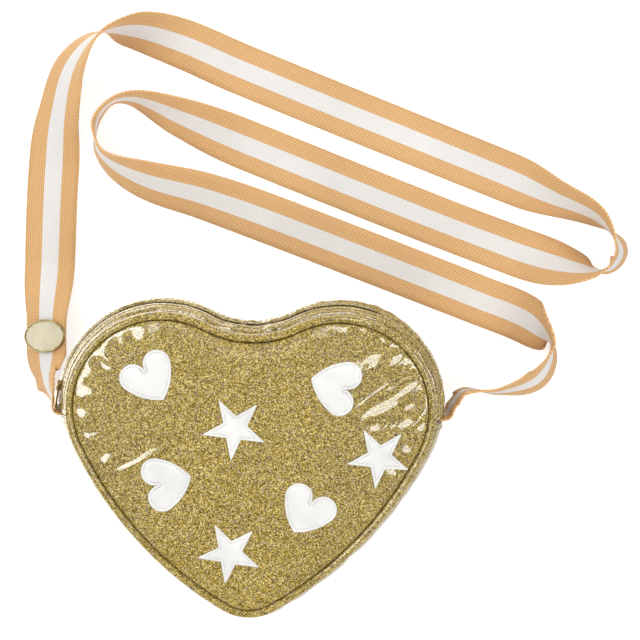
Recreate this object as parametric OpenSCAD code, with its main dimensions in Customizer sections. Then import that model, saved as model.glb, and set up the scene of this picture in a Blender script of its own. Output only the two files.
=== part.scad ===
// Heart-shaped shoulder bag, lying on its back.
// Origin: middle of the back panel's rest face. +X across the bag, +Y towards the lobes, +Z out of the front.
// Every heart-shaped piece follows one seam line, made of arcs that share their tangents.
// The letter u is a distance outward from that seam line, and s a distance along the band's cross section.

/* [Heart seam line] */
// Distance between the centres of the two lobes
lobe_spacing = 85; // [80:1:90]
// Radius of each lobe
lobe_r = 43; // [41:1:45]
// Height of the lobe centres above the middle of the bag
lobe_y = 30.5; // [28:0.5:33]
// Depth of the tip's centre below the middle of the bag
tip_y = 48.5; // [47:0.5:51]
// Radius of the tip
tip_r = 20; // [18:0.5:22]
// Radius of the long sides between lobe and tip
side_r = 182; // [170:2:200]
// Radius of the notch between the lobes
notch_r = 50; // [46:1:56]

/* [Body] */
// Depth from the rest face to the top of the front piping
body_d = 44.6; // [42:0.2:48]
// Rise of the front panel's middle above the piping
crown_h = 3; // [2.4:0.2:4.6]
// Radius of the front panel's dome
crown_r = 1000; // [900:50:1400]
// Swell of the side band beyond its two seams
bulge = 5.3; // [4:0.1:6.5]
// Thickness of the outer vinyl
skin_t = 1.2; // [1:0.1:1.4]
// Thickness of the foam sheets
foam_t = 3; // [2:0.5:3.5]
// Thickness of the lining cloth
lining_t = 0.5; // [0.3:0.1:0.6]
// Width of the seam allowance on the inside
allowance_w = 6; // [5:0.5:6.5]
// Thickness of the seam binding's cloth
binding_t = 0.3; // [0.2:0.05:0.4]
// Space between sewn layers
layer_gap = 0.3; // [0.2:0.05:0.4]

/* [Piping] */
// Radius of the covered piping
piping_r = 2; // [1.7:0.1:2.2]
// Thickness of the vinyl folded round the piping's cord
cover_t = 0.4; // [0.3:0.05:0.5]
// Space between the folded layers, and round the cord
fold_gap = 0.1; // [0.05:0.01:0.15]

/* [Zip] */
// Height of the zip's slit above the rest face
zip_z = 31; // [29:0.5:32]
// Half the width of the slit between the two zip bands
slit_half = 1; // [0.9:0.05:1.2]
// Turn of the slit's closed end up from level, on the left lobe
zip_start_a = 4; // [3:0.5:6]
// Turn of the slit's far end up from level, on the right lobe
zip_end_a = 64; // [58:1:70]
// Width of one half of the chain
chain_w = 1.9; // [1.6:0.1:2]
// Height of the chain
chain_h = 1.4; // [1.2:0.1:1.5]
// Half the space between the two halves of the chain
chain_half_gap = 0.7; // [0.65:0.05:0.8]
// Thickness of the zip tape
tape_t = 0.5; // [0.4:0.05:0.6]
// Reach of each tape from the middle of the slit
tape_reach = 9.4; // [8.5:0.1:9.8]
// Running clearance round the slider
run_gap = 0.25; // [0.2:0.05:0.3]

/* [Slider and puller] */
// Length of the slider along the zip
slider_l = 8; // [7:0.5:9]
// Half the width of the slider
slider_half_w = 3.7; // [3.6:0.1:4]
// Thickness of the slider's two plates
plate_t = 0.8; // [0.7:0.05:0.9]
// Turn of the parked slider up from level, on the left lobe
slider_a = 9.5; // [9.5:0.5:12]
// Thickness of the slider's crown
crown_t = 1.2; // [1:0.1:1.3]
// Length of the crown along the zip
crown_l = 5; // [4.5:0.5:5.5]
// Height of the puller's pin above the band
pin_h = 1.3; // [1.2:0.1:1.6]
// Radius of the puller's pin
pin_r = 0.55; // [0.5:0.05:0.6]
// Radial clearance of the pin in the crown
pin_fit = 0.1; // [0.06:0.01:0.1]
// Length of the puller from its pin to its end
puller_l = 12; // [10:0.5:12.5]
// Width of the puller
puller_w = 3.3; // [3.1:0.1:3.6]
// Thickness of the puller
puller_t = 1; // [0.8:0.1:1.2]

/* [Motifs] */
// Radius of the two lobes of a small heart
motif_lobe_r = 6.7; // [6:0.1:7.2]
// Distance from a small heart's tip to the line of its lobe centres
motif_rise = 16.5; // [15:0.1:17.5]
// Radius of a small heart's sides
motif_side_r = 27; // [23:1:40]
// Distance from a star's centre to its points
star_r = 15.9; // [14:0.1:17]
// Thickness of the motifs
motif_t = 0.8; // [0.6:0.1:1]

/* [Strap] */
// Width of the webbing
strap_w = 25; // [24:0.5:26]
// Thickness of the webbing
strap_t = 1.2; // [1:0.1:1.4]
// Drop of the strap's seam below level, on each lobe
seam_a = 7; // [6:0.5:8]
// Length of the oval badge across the webbing
badge_l = 24.4; // [22:0.2:24.8]
// Width of the oval badge along the webbing
badge_w = 16.4; // [14:0.2:18]
// Thickness of the badge's face
badge_t = 0.8; // [0.6:0.1:1]
// Width of the badge's rim
badge_rim_w = 1; // [0.8:0.1:1.3]

/* [Hidden] */
$fn = 96;
dome_fn = 360;
notch_steps = 4;
lobe_steps = 18;
low_lobe_steps = 3;
side_steps = 7;
tip_steps = 6;
zip_steps = 20;
pipe_steps = 7;
badge_steps = 40;
gold = "#a8924e";
dark_gold = "#8d7a3c";
cream = "#f4f1e6";
metal = "#8a7350";
foam_white = "#e9e6da";
cloth = "#d9c9a0";
tape_tan = "#b59a5e";

// Seam line: centres and junction angles, for the right half
lobe = [lobe_spacing / 2, lobe_y];
tip = [0, -tip_y];
lobe_to_tip = norm(tip - lobe);
way = (tip - lobe) / lobe_to_tip;
to_side_lobe = side_r - lobe_r;
to_side_tip = side_r - tip_r;
foot = (to_side_lobe ^ 2 - to_side_tip ^ 2 + lobe_to_tip ^ 2) / (2 * lobe_to_tip);
side = lobe + way * foot - [-way.y, way.x] * sqrt(to_side_lobe ^ 2 - foot ^ 2);
notch = [0, lobe.y + sqrt((notch_r + lobe_r) ^ 2 - lobe.x ^ 2)];
lobe_low_a = atan2(lobe.y - side.y, lobe.x - side.x);
side_low_a = atan2(tip.y - side.y, tip.x - side.x);
lobe_high_a = atan2(notch.y - lobe.y, notch.x - lobe.x);
half_w = lobe.x + lobe_r;

// Heights of the layers
front_pipe_z = body_d - piping_r;
back_pipe_z = piping_r + layer_gap;
crown_z = body_d + crown_h;
flange_h = 2 * cover_t + fold_gap;
front_flange_z = front_pipe_z - piping_r;
back_flange_z = back_pipe_z + piping_r - flange_h;
filler_r = (piping_r - cover_t) * cos(180 / pipe_steps) - fold_gap;
sheet_u = -allowance_w - 2 * layer_gap - binding_t;

// Cross section of the side band: one arc from the back seam to the front seam
band_low_z = back_pipe_z + piping_r + layer_gap;
band_high_z = front_pipe_z - piping_r - layer_gap;
band_mid_z = (band_low_z + band_high_z) / 2;
band_half = (band_high_z - band_low_z) / 2;
band_r = (band_half ^ 2 + bulge ^ 2) / (2 * bulge);
bulge_u = piping_r + skin_t + bulge;
zip_tilt = asin((zip_z - band_mid_z) / band_r);
band_end_a = asin(band_half / band_r);
arc_mm = band_r * PI / 180;
front_s = arc_mm * (band_end_a - zip_tilt);
back_s = -arc_mm * (band_end_a + zip_tilt);
lining_d = skin_t + layer_gap;

// Depths of the zip's layers below the band's outer surface
top_plate_d = lining_d;
chain_d = top_plate_d + plate_t + run_gap;
tape_d = chain_d + chain_h + layer_gap / 3;
low_plate_d = tape_d + tape_t + run_gap;
low_plate_end_d = low_plate_d + plate_t;
flange_s = slider_half_w - plate_t;
crown_top_d = -pin_h - pin_r - pin_fit - plate_t / 2;
mid_r = lobe_r + bulge_u;
slider_half_a = slider_l / 2 / mid_r * 180 / PI;
crown_half_a = crown_l / 2 / mid_r * 180 / PI;
post_half_a = crown_half_a / 2;
stop_a = 1.6;
tape_spare_a = 2;
taper_a = 0.5;
post_half_s = chain_half_gap - run_gap;
arm_reach = norm([crown_l / 2, pin_r + pin_fit + plate_t / 2]) + run_gap;
arm_r = pin_h - slit_half / 3;

// The strap's slot between the lower gusset and the zip bands
slot_half_a = strap_t / mid_r * 180 / PI;
top_end_a = -seam_a + slot_half_a;
low_end_a = -seam_a - slot_half_a;

// Motif places as shares of half the seam line's width: across, up, and the turn of the axis
heart_shares = [[-0.561, 0.529, 123], [-0.457, -0.054, -164], [0.32, -0.209, 61], [0.466, 0.512, -17]];
star_shares = [[-0.086, 0.263, 48], [0.726, 0.107, 48], [-0.106, -0.455, 46]];
star_inner_share = 0.39;

// Strap route: x, y, height of the middle (zero where an edge rests on the ground), roll about its length
route = [
    [-86.5, 25.2, 17, -90], [-94.5, 24.6, 17, -90], [-98, 29.5, 15.6, -76], [-101, 38, 12.5, -60],
    [-102, 50, 0, -33], [-102, 68, 0, -33], [-101, 94, 0, 0], [-99, 142, 0, 0], [-96, 168, 0, -32],
    [-90, 191, 0, -50], [-76, 207.5, 0, -88], [-60, 209.5, 0, -137], [-38, 203.5, 0, -168],
    [-8, 191, 0, -180], [122, 141, 0, -180], [146, 131.6, 0, -141], [165, 124, 0, -118],
    [174, 115, 0, -90], [178, 105, 0, -66], [172, 97.5, 0, -74], [156, 97.5, 0, -126],
    [126, 105, 0, -178], [-2, 153, 0, -182], [-36, 167.5, 0, -214], [-58, 176.5, 0, -246],
    [-70, 175, 0, -262], [-77.5, 165, 0, -266], [-75, 150, 0, -288], [-56, 138, 0, -322],
    [-25, 129, 0, -345], [8, 117.5, 0, -358], [112, 79, 0, -358], [136, 69.5, 0, -346],
    [146, 60.5, 0, -272], [140.5, 43, 0, -236], [122, 36.2, 0, -252], [104, 35.8, 12.6, -267],
    [98.5, 29.8, 15, -273], [95, 24.7, 16.6, -270], [86.5, 25.2, 17, -270]
];
ring_step = 46;
turn_step = 22;
step_share = 0.02;
badge_stretch = 4;
badge_share = 0.5;

// Points of an arc of radius r about c, from angle a to angle b
function arc(c, r, a, b, n) = [for (i = [0:n]) let (t = a + (b - a) * i / n) c + r * [cos(t), sin(t)]];

// Right half of the seam line moved outward by u, from the notch to the tip
function half_heart(u) = concat(
    arc(notch, notch_r - u, 270, lobe_high_a + 180, 6),
    arc(lobe, lobe_r + u, lobe_high_a, lobe_low_a, 26),
    arc(side, side_r + u, lobe_low_a, side_low_a, 10),
    arc(tip, tip_r + u, side_low_a, -90, 8)
);

// A half outline and its mirror image, as one outline
module both_halves(half, flip) {
    polygon(concat(half, [for (i = [len(half) - 2:-1:1]) [half[i].x * flip.x, half[i].y * flip.y]]));
}

module heart(u) {
    both_halves(half_heart(u), [-1, 1]);
}

// Stations along the seam line: a point on it and the way outward
function lobe_path(a, b, n) =
    [for (i = [0:n]) let (t = a + (b - a) * i / n, out = [cos(t), sin(t)]) [lobe + lobe_r * out, out]];

function side_path(n) =
    [for (i = [1:n]) let (t = lobe_low_a + (side_low_a - lobe_low_a) * i / n, out = [cos(t), sin(t)])
        [side + side_r * out, out]];

function tip_path(n) =
    [for (i = [1:n]) let (t = side_low_a + (-90 - side_low_a) * i / n, out = [cos(t), sin(t)])
        [tip + tip_r * out, out]];

function notch_path(n) =
    [for (i = [0:n - 1]) let (t = 270 + (lobe_high_a - 90) * i / n, out = [-cos(t), -sin(t)])
        [notch - notch_r * out, out]];

function mirrored(path) =
    [for (i = [len(path) - 1:-1:0]) let (p = path[i]) [[-p[0].x, p[0].y], [-p[1].x, p[1].y]]];

function inner_part(path) = [for (i = [1:len(path) - 2]) path[i]];

// The whole seam line, once round
right_half = concat(
    notch_path(notch_steps), lobe_path(lobe_high_a, lobe_low_a, lobe_steps),
    side_path(side_steps), tip_path(tip_steps)
);
whole_path = concat(right_half, inner_part(mirrored(right_half)));

// From an angle on the right lobe round the tip to the same angle on the left lobe
function low_path(a) =
    let (half = concat(lobe_path(a, lobe_low_a, low_lobe_steps), side_path(side_steps), tip_path(tip_steps)))
    concat(half, [for (i = [1:len(half) - 1]) mirrored(half)[i]]);

// From an angle on the left lobe over the notch to an angle on the right lobe
function top_path(left_a, right_a) =
    let (
        left = lobe_path(lobe_high_a, left_a, zip_steps),
        right = lobe_path(lobe_high_a, right_a, zip_steps),
        half_notch = notch_path(notch_steps),
        whole_notch = concat(mirrored(half_notch), [for (i = [1:notch_steps - 1]) half_notch[i]])
    )
    concat(mirrored(left), whole_notch, right);

// Places a profile, drawn in u and z, at a station
function ring_at(station, profile) =
    [for (q = profile) [station[0].x + station[1].x * q.x, station[0].y + station[1].y * q.x, q.y]];

// Joins rings of points, each seen anticlockwise from the next, into one solid
module skin(rings, closed) {
    sides = len(rings[0]);
    count = len(rings);
    walls = [
        for (i = [0:(closed ? count - 1 : count - 2)], k = [0:sides - 1])
            let (
                a = i * sides + k,
                b = i * sides + (k + 1) % sides,
                c = (i + 1) % count * sides + k,
                d = (i + 1) % count * sides + (k + 1) % sides
            )
            each k < sides / 2 ? [[a, b, c], [b, d, c]] : [[a, b, d], [a, d, c]]
    ];
    ends = closed ? [] : [[for (k = [sides - 1:-1:0]) k], [for (k = [0:sides - 1]) (count - 1) * sides + k]];
    polyhedron([for (ring = rings) each ring], concat(walls, ends));
}

module sweep(path, profile, closed = false) {
    skin([for (station = path) ring_at(station, profile)], closed);
}

// A strip of the side band's cross section, between two depths and two places along it
function band_point(d, s) =
    let (a = zip_tilt + s / arc_mm)
    [bulge_u - band_r + (band_r - d) * cos(a), band_mid_z + (band_r - d) * sin(a)];

function strip(d1, d2, s1, s2, n = 1) = [
    for (i = [0:n]) band_point(d1, s1 + (s2 - s1) * i / n),
    for (i = [n:-1:0]) band_point(d2, s1 + (s2 - s1) * i / n)
];

// A slice of the dome that forms the front, between two depths below its top
module dome_slice(d1, d2) {
    intersection() {
        linear_extrude(2 * body_d) children();
        translate([0, 0, crown_z - crown_r]) difference() {
            sphere(crown_r - d1, $fn = dome_fn);
            sphere(crown_r - d2, $fn = dome_fn);
        }
    }
}

module front_panel() {
    color(gold) dome_slice(0, skin_t) heart(-layer_gap);
}

module front_foam() {
    d = skin_t + layer_gap;
    color(foam_white) dome_slice(d, d + foam_t) heart(sheet_u);
}

module front_lining() {
    d = skin_t + foam_t + 2 * layer_gap;
    color(cloth) dome_slice(d, d + lining_t) heart(sheet_u);
}

module back_panel() {
    color(gold) linear_extrude(skin_t) heart(-layer_gap);
}

module back_foam() {
    color(foam_white) translate([0, 0, skin_t + layer_gap]) linear_extrude(foam_t) heart(sheet_u);
}

module back_lining() {
    color(cloth) translate([0, 0, skin_t + foam_t + 2 * layer_gap]) linear_extrude(lining_t)
        heart(sheet_u);
}

// Covered piping: a strip folded round a filler cord, its two edges laid together as a flange.
// The flange runs inward from the side of the tube that faces the gusset, which way gives.
function piping_profile(z, way) =
    let (
        c = [piping_r, z],
        bore_r = piping_r - cover_t,
        outer_a = asin((piping_r - 2 * cover_t - fold_gap) / piping_r),
        bore_a = asin((bore_r - fold_gap) / bore_r),
        outer = arc(c, piping_r, outer_a - 180, -450, pipe_steps),
        bore = arc(c, bore_r, -450, bore_a - 180, pipe_steps),
        upright = concat(
            [[-allowance_w, outer[0].y]], outer, [[-allowance_w, z - piping_r]],
            [[-allowance_w, z - bore_r]], bore, [[-allowance_w, bore[pipe_steps].y]]
        )
    )
    [for (q = upright) [q.x, z + way * (q.y - z)]];

module front_piping() {
    color(dark_gold) sweep(whole_path, piping_profile(front_pipe_z, 1), true);
}

module back_piping() {
    color(dark_gold) sweep(whole_path, piping_profile(back_pipe_z, -1), true);
}

module front_piping_cord() {
    color(cream) sweep(whole_path, arc([piping_r, front_pipe_z], filler_r, 360, 45, 7), true);
}

module back_piping_cord() {
    color(cream) sweep(whole_path, arc([piping_r, back_pipe_z], filler_r, 360, 45, 7), true);
}

// Cloth binding folded round the inner edge of a piping flange
function binding_profile(flange_z) =
    let (
        back_u = -allowance_w - layer_gap,
        open_u = back_u + allowance_w / 2,
        low_z = flange_z - layer_gap,
        high_z = flange_z + flange_h + layer_gap
    )
    [
        [open_u, high_z + binding_t], [open_u, high_z], [back_u, high_z],
        [back_u, low_z], [open_u, low_z], [open_u, low_z - binding_t],
        [back_u - binding_t, low_z - binding_t], [back_u - binding_t, high_z + binding_t]
    ];

module front_seam_binding() {
    color(cloth) sweep(whole_path, binding_profile(front_flange_z), true);
}

module back_seam_binding() {
    color(cloth) sweep(whole_path, binding_profile(back_flange_z), true);
}

module lower_gusset() {
    color(gold) sweep(low_path(low_end_a), strip(0, skin_t, front_s, back_s, 8));
}

module lower_gusset_lining() {
    color(cloth) sweep(
        low_path(low_end_a),
        strip(lining_d, lining_d + lining_t, front_s - layer_gap, back_s + layer_gap, 7)
    );
}

// One half of the top band: open at the slit, and butted together past both ends of the zip
module zip_band(open_s, seam_s, n) {
    closed_s = sign(open_s) * layer_gap / 2;
    open = strip(0, skin_t, max(open_s, seam_s), min(open_s, seam_s), n);
    shut = strip(0, skin_t, max(closed_s, seam_s), min(closed_s, seam_s), n);
    skin(concat(
        [for (station = mirrored(lobe_path(zip_start_a - taper_a, top_end_a, 2))) ring_at(station, shut)],
        [for (station = top_path(zip_start_a, zip_end_a)) ring_at(station, open)],
        [for (station = lobe_path(zip_end_a - taper_a, top_end_a, 10)) ring_at(station, shut)]
    ), false);
}

module zip_gusset_front() {
    color(gold) zip_band(slit_half, front_s, 3);
}

module zip_gusset_back() {
    color(gold) zip_band(-slit_half, back_s, 6);
}

module zip_gusset_lining() {
    color(cloth) sweep(
        top_path(top_end_a, top_end_a),
        strip(lining_d, lining_d + lining_t, -tape_reach - layer_gap, back_s + layer_gap, 5)
    );
}

// One tape: deep under the chain, then up against the inside of its band
module tape(way) {
    bend_s = slider_half_w + run_gap;
    rise_s = bend_s + tape_d - lining_d;
    profile = [
        band_point(tape_d, way * chain_half_gap),
        band_point(tape_d, way * bend_s),
        band_point(lining_d, way * rise_s),
        band_point(lining_d, way * tape_reach),
        band_point(lining_d + tape_t, way * tape_reach),
        band_point(lining_d + tape_t, way * (rise_s + tape_t)),
        band_point(tape_d + tape_t, way * (bend_s + tape_t)),
        band_point(tape_d + tape_t, way * chain_half_gap)
    ];
    sweep(
        top_path(zip_start_a - tape_spare_a, zip_end_a - tape_spare_a),
        way < 0 ? profile : [for (i = [7:-1:0]) profile[i]]
    );
}

module zip_tape_front() {
    color(tape_tan) tape(1);
}

module zip_tape_back() {
    color(tape_tan) tape(-1);
}

// One half of the chain, lying on its tape, between two places across the zip
module chain(s1, s2) {
    sweep(top_path(zip_start_a + stop_a, zip_end_a + stop_a), strip(chain_d, chain_d + chain_h, s1, s2));
}

module zip_teeth_front() {
    color(tape_tan) chain(chain_half_gap + chain_w, chain_half_gap);
}

module zip_teeth_back() {
    color(tape_tan) chain(-chain_half_gap, -chain_half_gap - chain_w);
}

// A small metal clamp on each tape, past the closed end of the chain
module zip_top_stops() {
    wide = chain_half_gap + chain_w;
    path = mirrored(lobe_path(zip_start_a + stop_a / 2, zip_start_a - stop_a / 2, 1));
    color(metal) sweep(path, strip(chain_d, chain_d + chain_h, wide, chain_half_gap));
    color(metal) sweep(path, strip(chain_d, chain_d + chain_h, -chain_half_gap, -wide));
}

// One metal clamp across both tapes, past the open end of the chain
module zip_bottom_stop() {
    wide = chain_half_gap + chain_w;
    path = lobe_path(zip_end_a + stop_a / 2, zip_end_a - stop_a / 2, 1);
    color(metal) sweep(path, strip(chain_d, chain_d + chain_h, wide, -wide, 2));
}

// Stands at the puller's pin: X outward, Y along the zip towards the strap seam, Z across the zip
module at_pin() {
    pin = band_point(-pin_h, 0);
    mirror([1, 0, 0]) translate(lobe) rotate(slider_a)
        translate([lobe_r + pin.x, 0, pin.y]) rotate([0, -zip_tilt, 0]) mirror([0, 1, 0]) children();
}

module slider_sweep(half_a) {
    mirror([1, 0, 0]) translate(lobe) rotate(slider_a - half_a) rotate_extrude(angle = 2 * half_a)
        translate([lobe_r, 0]) children();
}

// Two plates joined by a post between the chain's halves, and a crown that stands in the slit
module zip_slider() {
    color(metal) difference() {
        union() {
            slider_sweep(slider_half_a) {
                polygon(strip(top_plate_d, top_plate_d + plate_t, -slider_half_w, slider_half_w, 2));
                polygon(strip(low_plate_d, low_plate_end_d, -slider_half_w, slider_half_w, 2));
                for (way = [-1, 1])
                    polygon(strip(top_plate_d, tape_d - run_gap, way * flange_s, way * slider_half_w));
            }
            slider_sweep(post_half_a)
                polygon(strip(top_plate_d, low_plate_end_d, -post_half_s, post_half_s));
            slider_sweep(crown_half_a)
                polygon(strip(crown_top_d, top_plate_d + plate_t / 2, -crown_t / 2, crown_t / 2));
        }
        at_pin() cylinder(h = 2 * crown_t, r = pin_r + pin_fit, center = true);
    }
}

// Two arms on a pin through the crown, and a plate with a finger hole
module zip_puller() {
    arm_w = (puller_w - crown_t) / 2 - run_gap;
    hole_r = puller_w / 4;
    color(metal) at_pin() {
        cylinder(h = puller_w - arm_w, r = pin_r, center = true);
        for (way = [-1, 1]) translate([0, 0, way * (puller_w - arm_w) / 2]) {
            cylinder(h = arm_w, r = arm_r, center = true);
            translate([-puller_t / 2, 0, -arm_w / 2]) cube([puller_t, arm_reach + arm_w, arm_w]);
        }
        difference() {
            translate([-puller_t / 2, arm_reach, -puller_w / 2])
                cube([puller_t, puller_l - arm_reach - puller_w / 2, puller_w]);
            translate([0, puller_l - puller_w / 2, 0]) rotate([0, 90, 0])
                cylinder(h = 2 * puller_t, r = hole_r, center = true);
        }
        translate([0, puller_l - puller_w / 2, 0]) rotate([0, 90, 0]) difference() {
            cylinder(h = puller_t, r = puller_w / 2, center = true);
            cylinder(h = 2 * puller_t, r = hole_r, center = true);
        }
    }
}

// Half of a small heart, tip at the origin and axis along +X
function half_motif() =
    let (
        c = [motif_rise, motif_lobe_r],
        far = motif_side_r - motif_lobe_r,
        d = norm(c),
        along = (motif_side_r ^ 2 - far ^ 2 + d ^ 2) / (2 * d),
        centre = c / d * along + [c.y, -c.x] / d * sqrt(motif_side_r ^ 2 - along ^ 2)
    )
    concat(
        [[0, 0]],
        arc(centre, motif_side_r, atan2(-centre.y, -centre.x), atan2(c.y - centre.y, c.x - centre.x), 8),
        arc(c, motif_lobe_r, atan2(c.y - centre.y, c.x - centre.x), -90, 18)
    );

module heart_motif(i) {
    middle = (motif_rise + motif_lobe_r) / 2;
    place = heart_shares[i] * half_w;
    color(cream) dome_slice(-motif_t - layer_gap / 6, -layer_gap / 6)
        translate([place.x, place.y]) rotate(heart_shares[i][2]) translate([-middle, 0])
            both_halves(half_motif(), [1, -1]);
}

module star_motif(i) {
    place = star_shares[i] * half_w;
    color(cream) dome_slice(-motif_t - layer_gap / 6, -layer_gap / 6)
        translate([place.x, place.y]) rotate(star_shares[i][2]) polygon([
            for (k = [0:9]) (k % 2 == 0 ? star_r : star_r * star_inner_share) * [cos(36 * k), sin(36 * k)]
        ]);
}

// Strap: a smooth curve through the route's points, by the distance between them
function far(i) = norm([route[i + 1].x - route[i].x, route[i + 1].y - route[i].y]);

function slope(i) =
    i == 0 ? (route[1] - route[0]) / far(0) :
    i == len(route) - 1 ? (route[i] - route[i - 1]) / far(i - 1) :
    (route[i + 1] - route[i - 1]) / (far(i - 1) + far(i));

function on_route(i, t) =
    let (h = far(i))
    (2 * t ^ 3 - 3 * t ^ 2 + 1) * route[i] + (t ^ 3 - 2 * t ^ 2 + t) * h * slope(i)
    + (3 * t ^ 2 - 2 * t ^ 3) * route[i + 1] + (t ^ 3 - t ^ 2) * h * slope(i + 1);

// Roll of the strap, which stays the same under the badge
function roll_at(i, t) = i == badge_stretch ? route[i][3] : on_route(i, t)[3];

// Middle of the strap, raised where its lower edge would pass the ground
function strap_middle(i, t) =
    let (
        p = on_route(i, t),
        roll = roll_at(i, t),
        low = layer_gap + strap_w / 2 * abs(sin(roll)) + strap_t / 2 * abs(cos(roll))
    )
    [p.x, p.y, max(p.z, low)];

function strap_along(i, t) =
    let (
        a = max(0, t - step_share),
        b = min(1, t + step_share),
        v = strap_middle(i, b) - strap_middle(i, a)
    )
    v / norm(v);

// Axes of the strap at a place: along, across towards one edge, and out of its face
function strap_axes(i, t) =
    let (
        along = strap_along(i, t),
        flat = [-along.y, along.x, 0] / norm([along.x, along.y]),
        roll = roll_at(i, t),
        up = cross(along, flat),
        across = cos(roll) * flat + sin(roll) * up
    )
    [along, across, cross(along, across)];

// Turn of the strap in one stretch: its bend in plan and its roll together
function turn(i) =
    let (
        a = strap_along(i, 0),
        b = strap_along(i, 1),
        bend = acos(min(1, (a.x * b.x + a.y * b.y) / norm([a.x, a.y]) / norm([b.x, b.y])))
    )
    norm([bend, route[i + 1][3] - route[i][3]]);

places = [
    for (i = [0:len(route) - 2])
        let (n = max(i == badge_stretch ? 4 : 1, round(far(i) / ring_step), round(turn(i) / turn_step)))
        for (k = [0:n - 1]) [i, k / n],
    [len(route) - 2, 1]
];

bevel = strap_t / 3;
section = [
    [strap_w / 2, strap_t / 2 - bevel], [strap_w / 2 - bevel, strap_t / 2],
    [bevel - strap_w / 2, strap_t / 2], [-strap_w / 2, strap_t / 2 - bevel],
    [-strap_w / 2, bevel - strap_t / 2], [bevel - strap_w / 2, -strap_t / 2],
    [strap_w / 2 - bevel, -strap_t / 2], [strap_w / 2, bevel - strap_t / 2]
];

module shoulder_strap() {
    color("#d9ab72") skin([
        for (p = places)
            let (c = strap_middle(p[0], p[1]), axes = strap_axes(p[0], p[1]))
            [for (q = section) c + q.x * axes[1] + q.y * axes[2]]
    ], false);
}

// Stands on the strap's face at the badge: X across, Y along, Z out of the face
module at_badge() {
    c = strap_middle(badge_stretch, badge_share);
    axes = strap_axes(badge_stretch, badge_share);
    seat = c + axes[2] * (strap_t / 2 + layer_gap);
    multmatrix([
        [axes[1].x, axes[0].x, -axes[2].x, seat.x],
        [axes[1].y, axes[0].y, -axes[2].y, seat.y],
        [axes[1].z, axes[0].z, -axes[2].z, seat.z],
        [0, 0, 0, 1]
    ]) mirror([0, 0, 1]) children();
}

// Oval with its long axis across the webbing
module oval(l, w) {
    polygon([for (k = [0:badge_steps - 1]) let (t = 360 * k / badge_steps) [l * cos(t), w * sin(t)] / 2]);
}

module strap_badge() {
    color(cream) at_badge() linear_extrude(badge_t)
        oval(badge_l - 2 * badge_rim_w - layer_gap, badge_w - 2 * badge_rim_w - layer_gap);
}

module strap_badge_rim() {
    color(gold) at_badge() linear_extrude(badge_t + layer_gap) difference() {
        oval(badge_l, badge_w);
        oval(badge_l - 2 * badge_rim_w, badge_w - 2 * badge_rim_w);
    }
}

front_panel();
front_foam();
front_lining();
back_panel();
back_foam();
back_lining();
front_piping();
front_piping_cord();
back_piping();
back_piping_cord();
front_seam_binding();
back_seam_binding();
lower_gusset();
zip_gusset_front();
zip_gusset_back();
lower_gusset_lining();
zip_gusset_lining();
zip_tape_front();
zip_tape_back();
zip_teeth_front();
zip_teeth_back();
zip_top_stops();
zip_bottom_stop();
zip_slider();
zip_puller();
heart_motif(0);  // heart_motif_1
heart_motif(1);  // heart_motif_2
heart_motif(2);  // heart_motif_3
heart_motif(3);  // heart_motif_4
star_motif(0);  // star_motif_1
star_motif(1);  // star_motif_2
star_motif(2);  // star_motif_3
shoulder_strap();
strap_badge();
strap_badge_rim();
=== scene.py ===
"""Looks of a heart-shaped shoulder bag that lies on its back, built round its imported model."""

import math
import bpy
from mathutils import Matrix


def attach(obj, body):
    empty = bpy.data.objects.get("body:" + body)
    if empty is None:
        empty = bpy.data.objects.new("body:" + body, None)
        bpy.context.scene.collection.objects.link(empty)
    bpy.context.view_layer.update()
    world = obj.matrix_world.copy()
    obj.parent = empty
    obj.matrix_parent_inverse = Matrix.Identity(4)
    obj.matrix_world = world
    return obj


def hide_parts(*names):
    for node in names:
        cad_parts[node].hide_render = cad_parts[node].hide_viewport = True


bl_info = {
    "name": "Heart shoulder bag",
    "version": (1, 0, 0),
    "blender": (4, 5, 0),
    "location": "3D View > Sidebar > Bag",
    "description": "Makes the skins, piping, zip, patches, webbing and badge of a heart-shaped shoulder bag",
    "category": "Add Mesh",
}

import bmesh
import bpy
import numpy as np
from bpy.props import FloatProperty, FloatVectorProperty, PointerProperty
from bpy.types import Operator, Panel, PropertyGroup
from mathutils import Matrix, Vector

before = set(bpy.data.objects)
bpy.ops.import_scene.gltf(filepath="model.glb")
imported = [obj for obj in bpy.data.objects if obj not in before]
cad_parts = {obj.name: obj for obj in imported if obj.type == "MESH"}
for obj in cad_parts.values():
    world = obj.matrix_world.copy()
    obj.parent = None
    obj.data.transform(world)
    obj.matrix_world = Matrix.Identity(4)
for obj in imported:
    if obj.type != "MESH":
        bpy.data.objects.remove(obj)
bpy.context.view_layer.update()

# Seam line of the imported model: arcs that share their tangents, in metres
LOBE = np.array([0.0425, 0.0305])
LOBE_R = 0.043
TIP = np.array([0.0, -0.0485])
TIP_R = 0.020
SIDE_R = 0.182
NOTCH_R = 0.050

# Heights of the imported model's layers
FRONT_PIPE_Z = 0.0426
BACK_PIPE_Z = 0.0023
PIPE_R = 0.002
CROWN_Z = 0.0476
CROWN_R = 1.0
FLANGE = 0.006
FLANGE_T = 0.0009
SKIN_T = 0.0012

# Cross section of the side band: one arc from the back seam to the front seam
BAND_R = 0.032709
BAND_MID = np.array([0.0085 - BAND_R, 0.02245])
BAND_END = math.asin(0.01785 / BAND_R)
ZIP_TILT = math.asin((0.031 - BAND_MID[1]) / BAND_R)
SLIT_HALF = 0.0016
CLOSED_HALF = 0.00015
ZIP_START = math.radians(4)
ZIP_END = math.radians(64)
SEAM_DROP = math.radians(7)
TEETH_DEPTH = 0.00255
TEETH_HEIGHT = 0.0014
TEETH_GAP = 0.0007
TEETH_WIDTH = 0.0019

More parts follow.
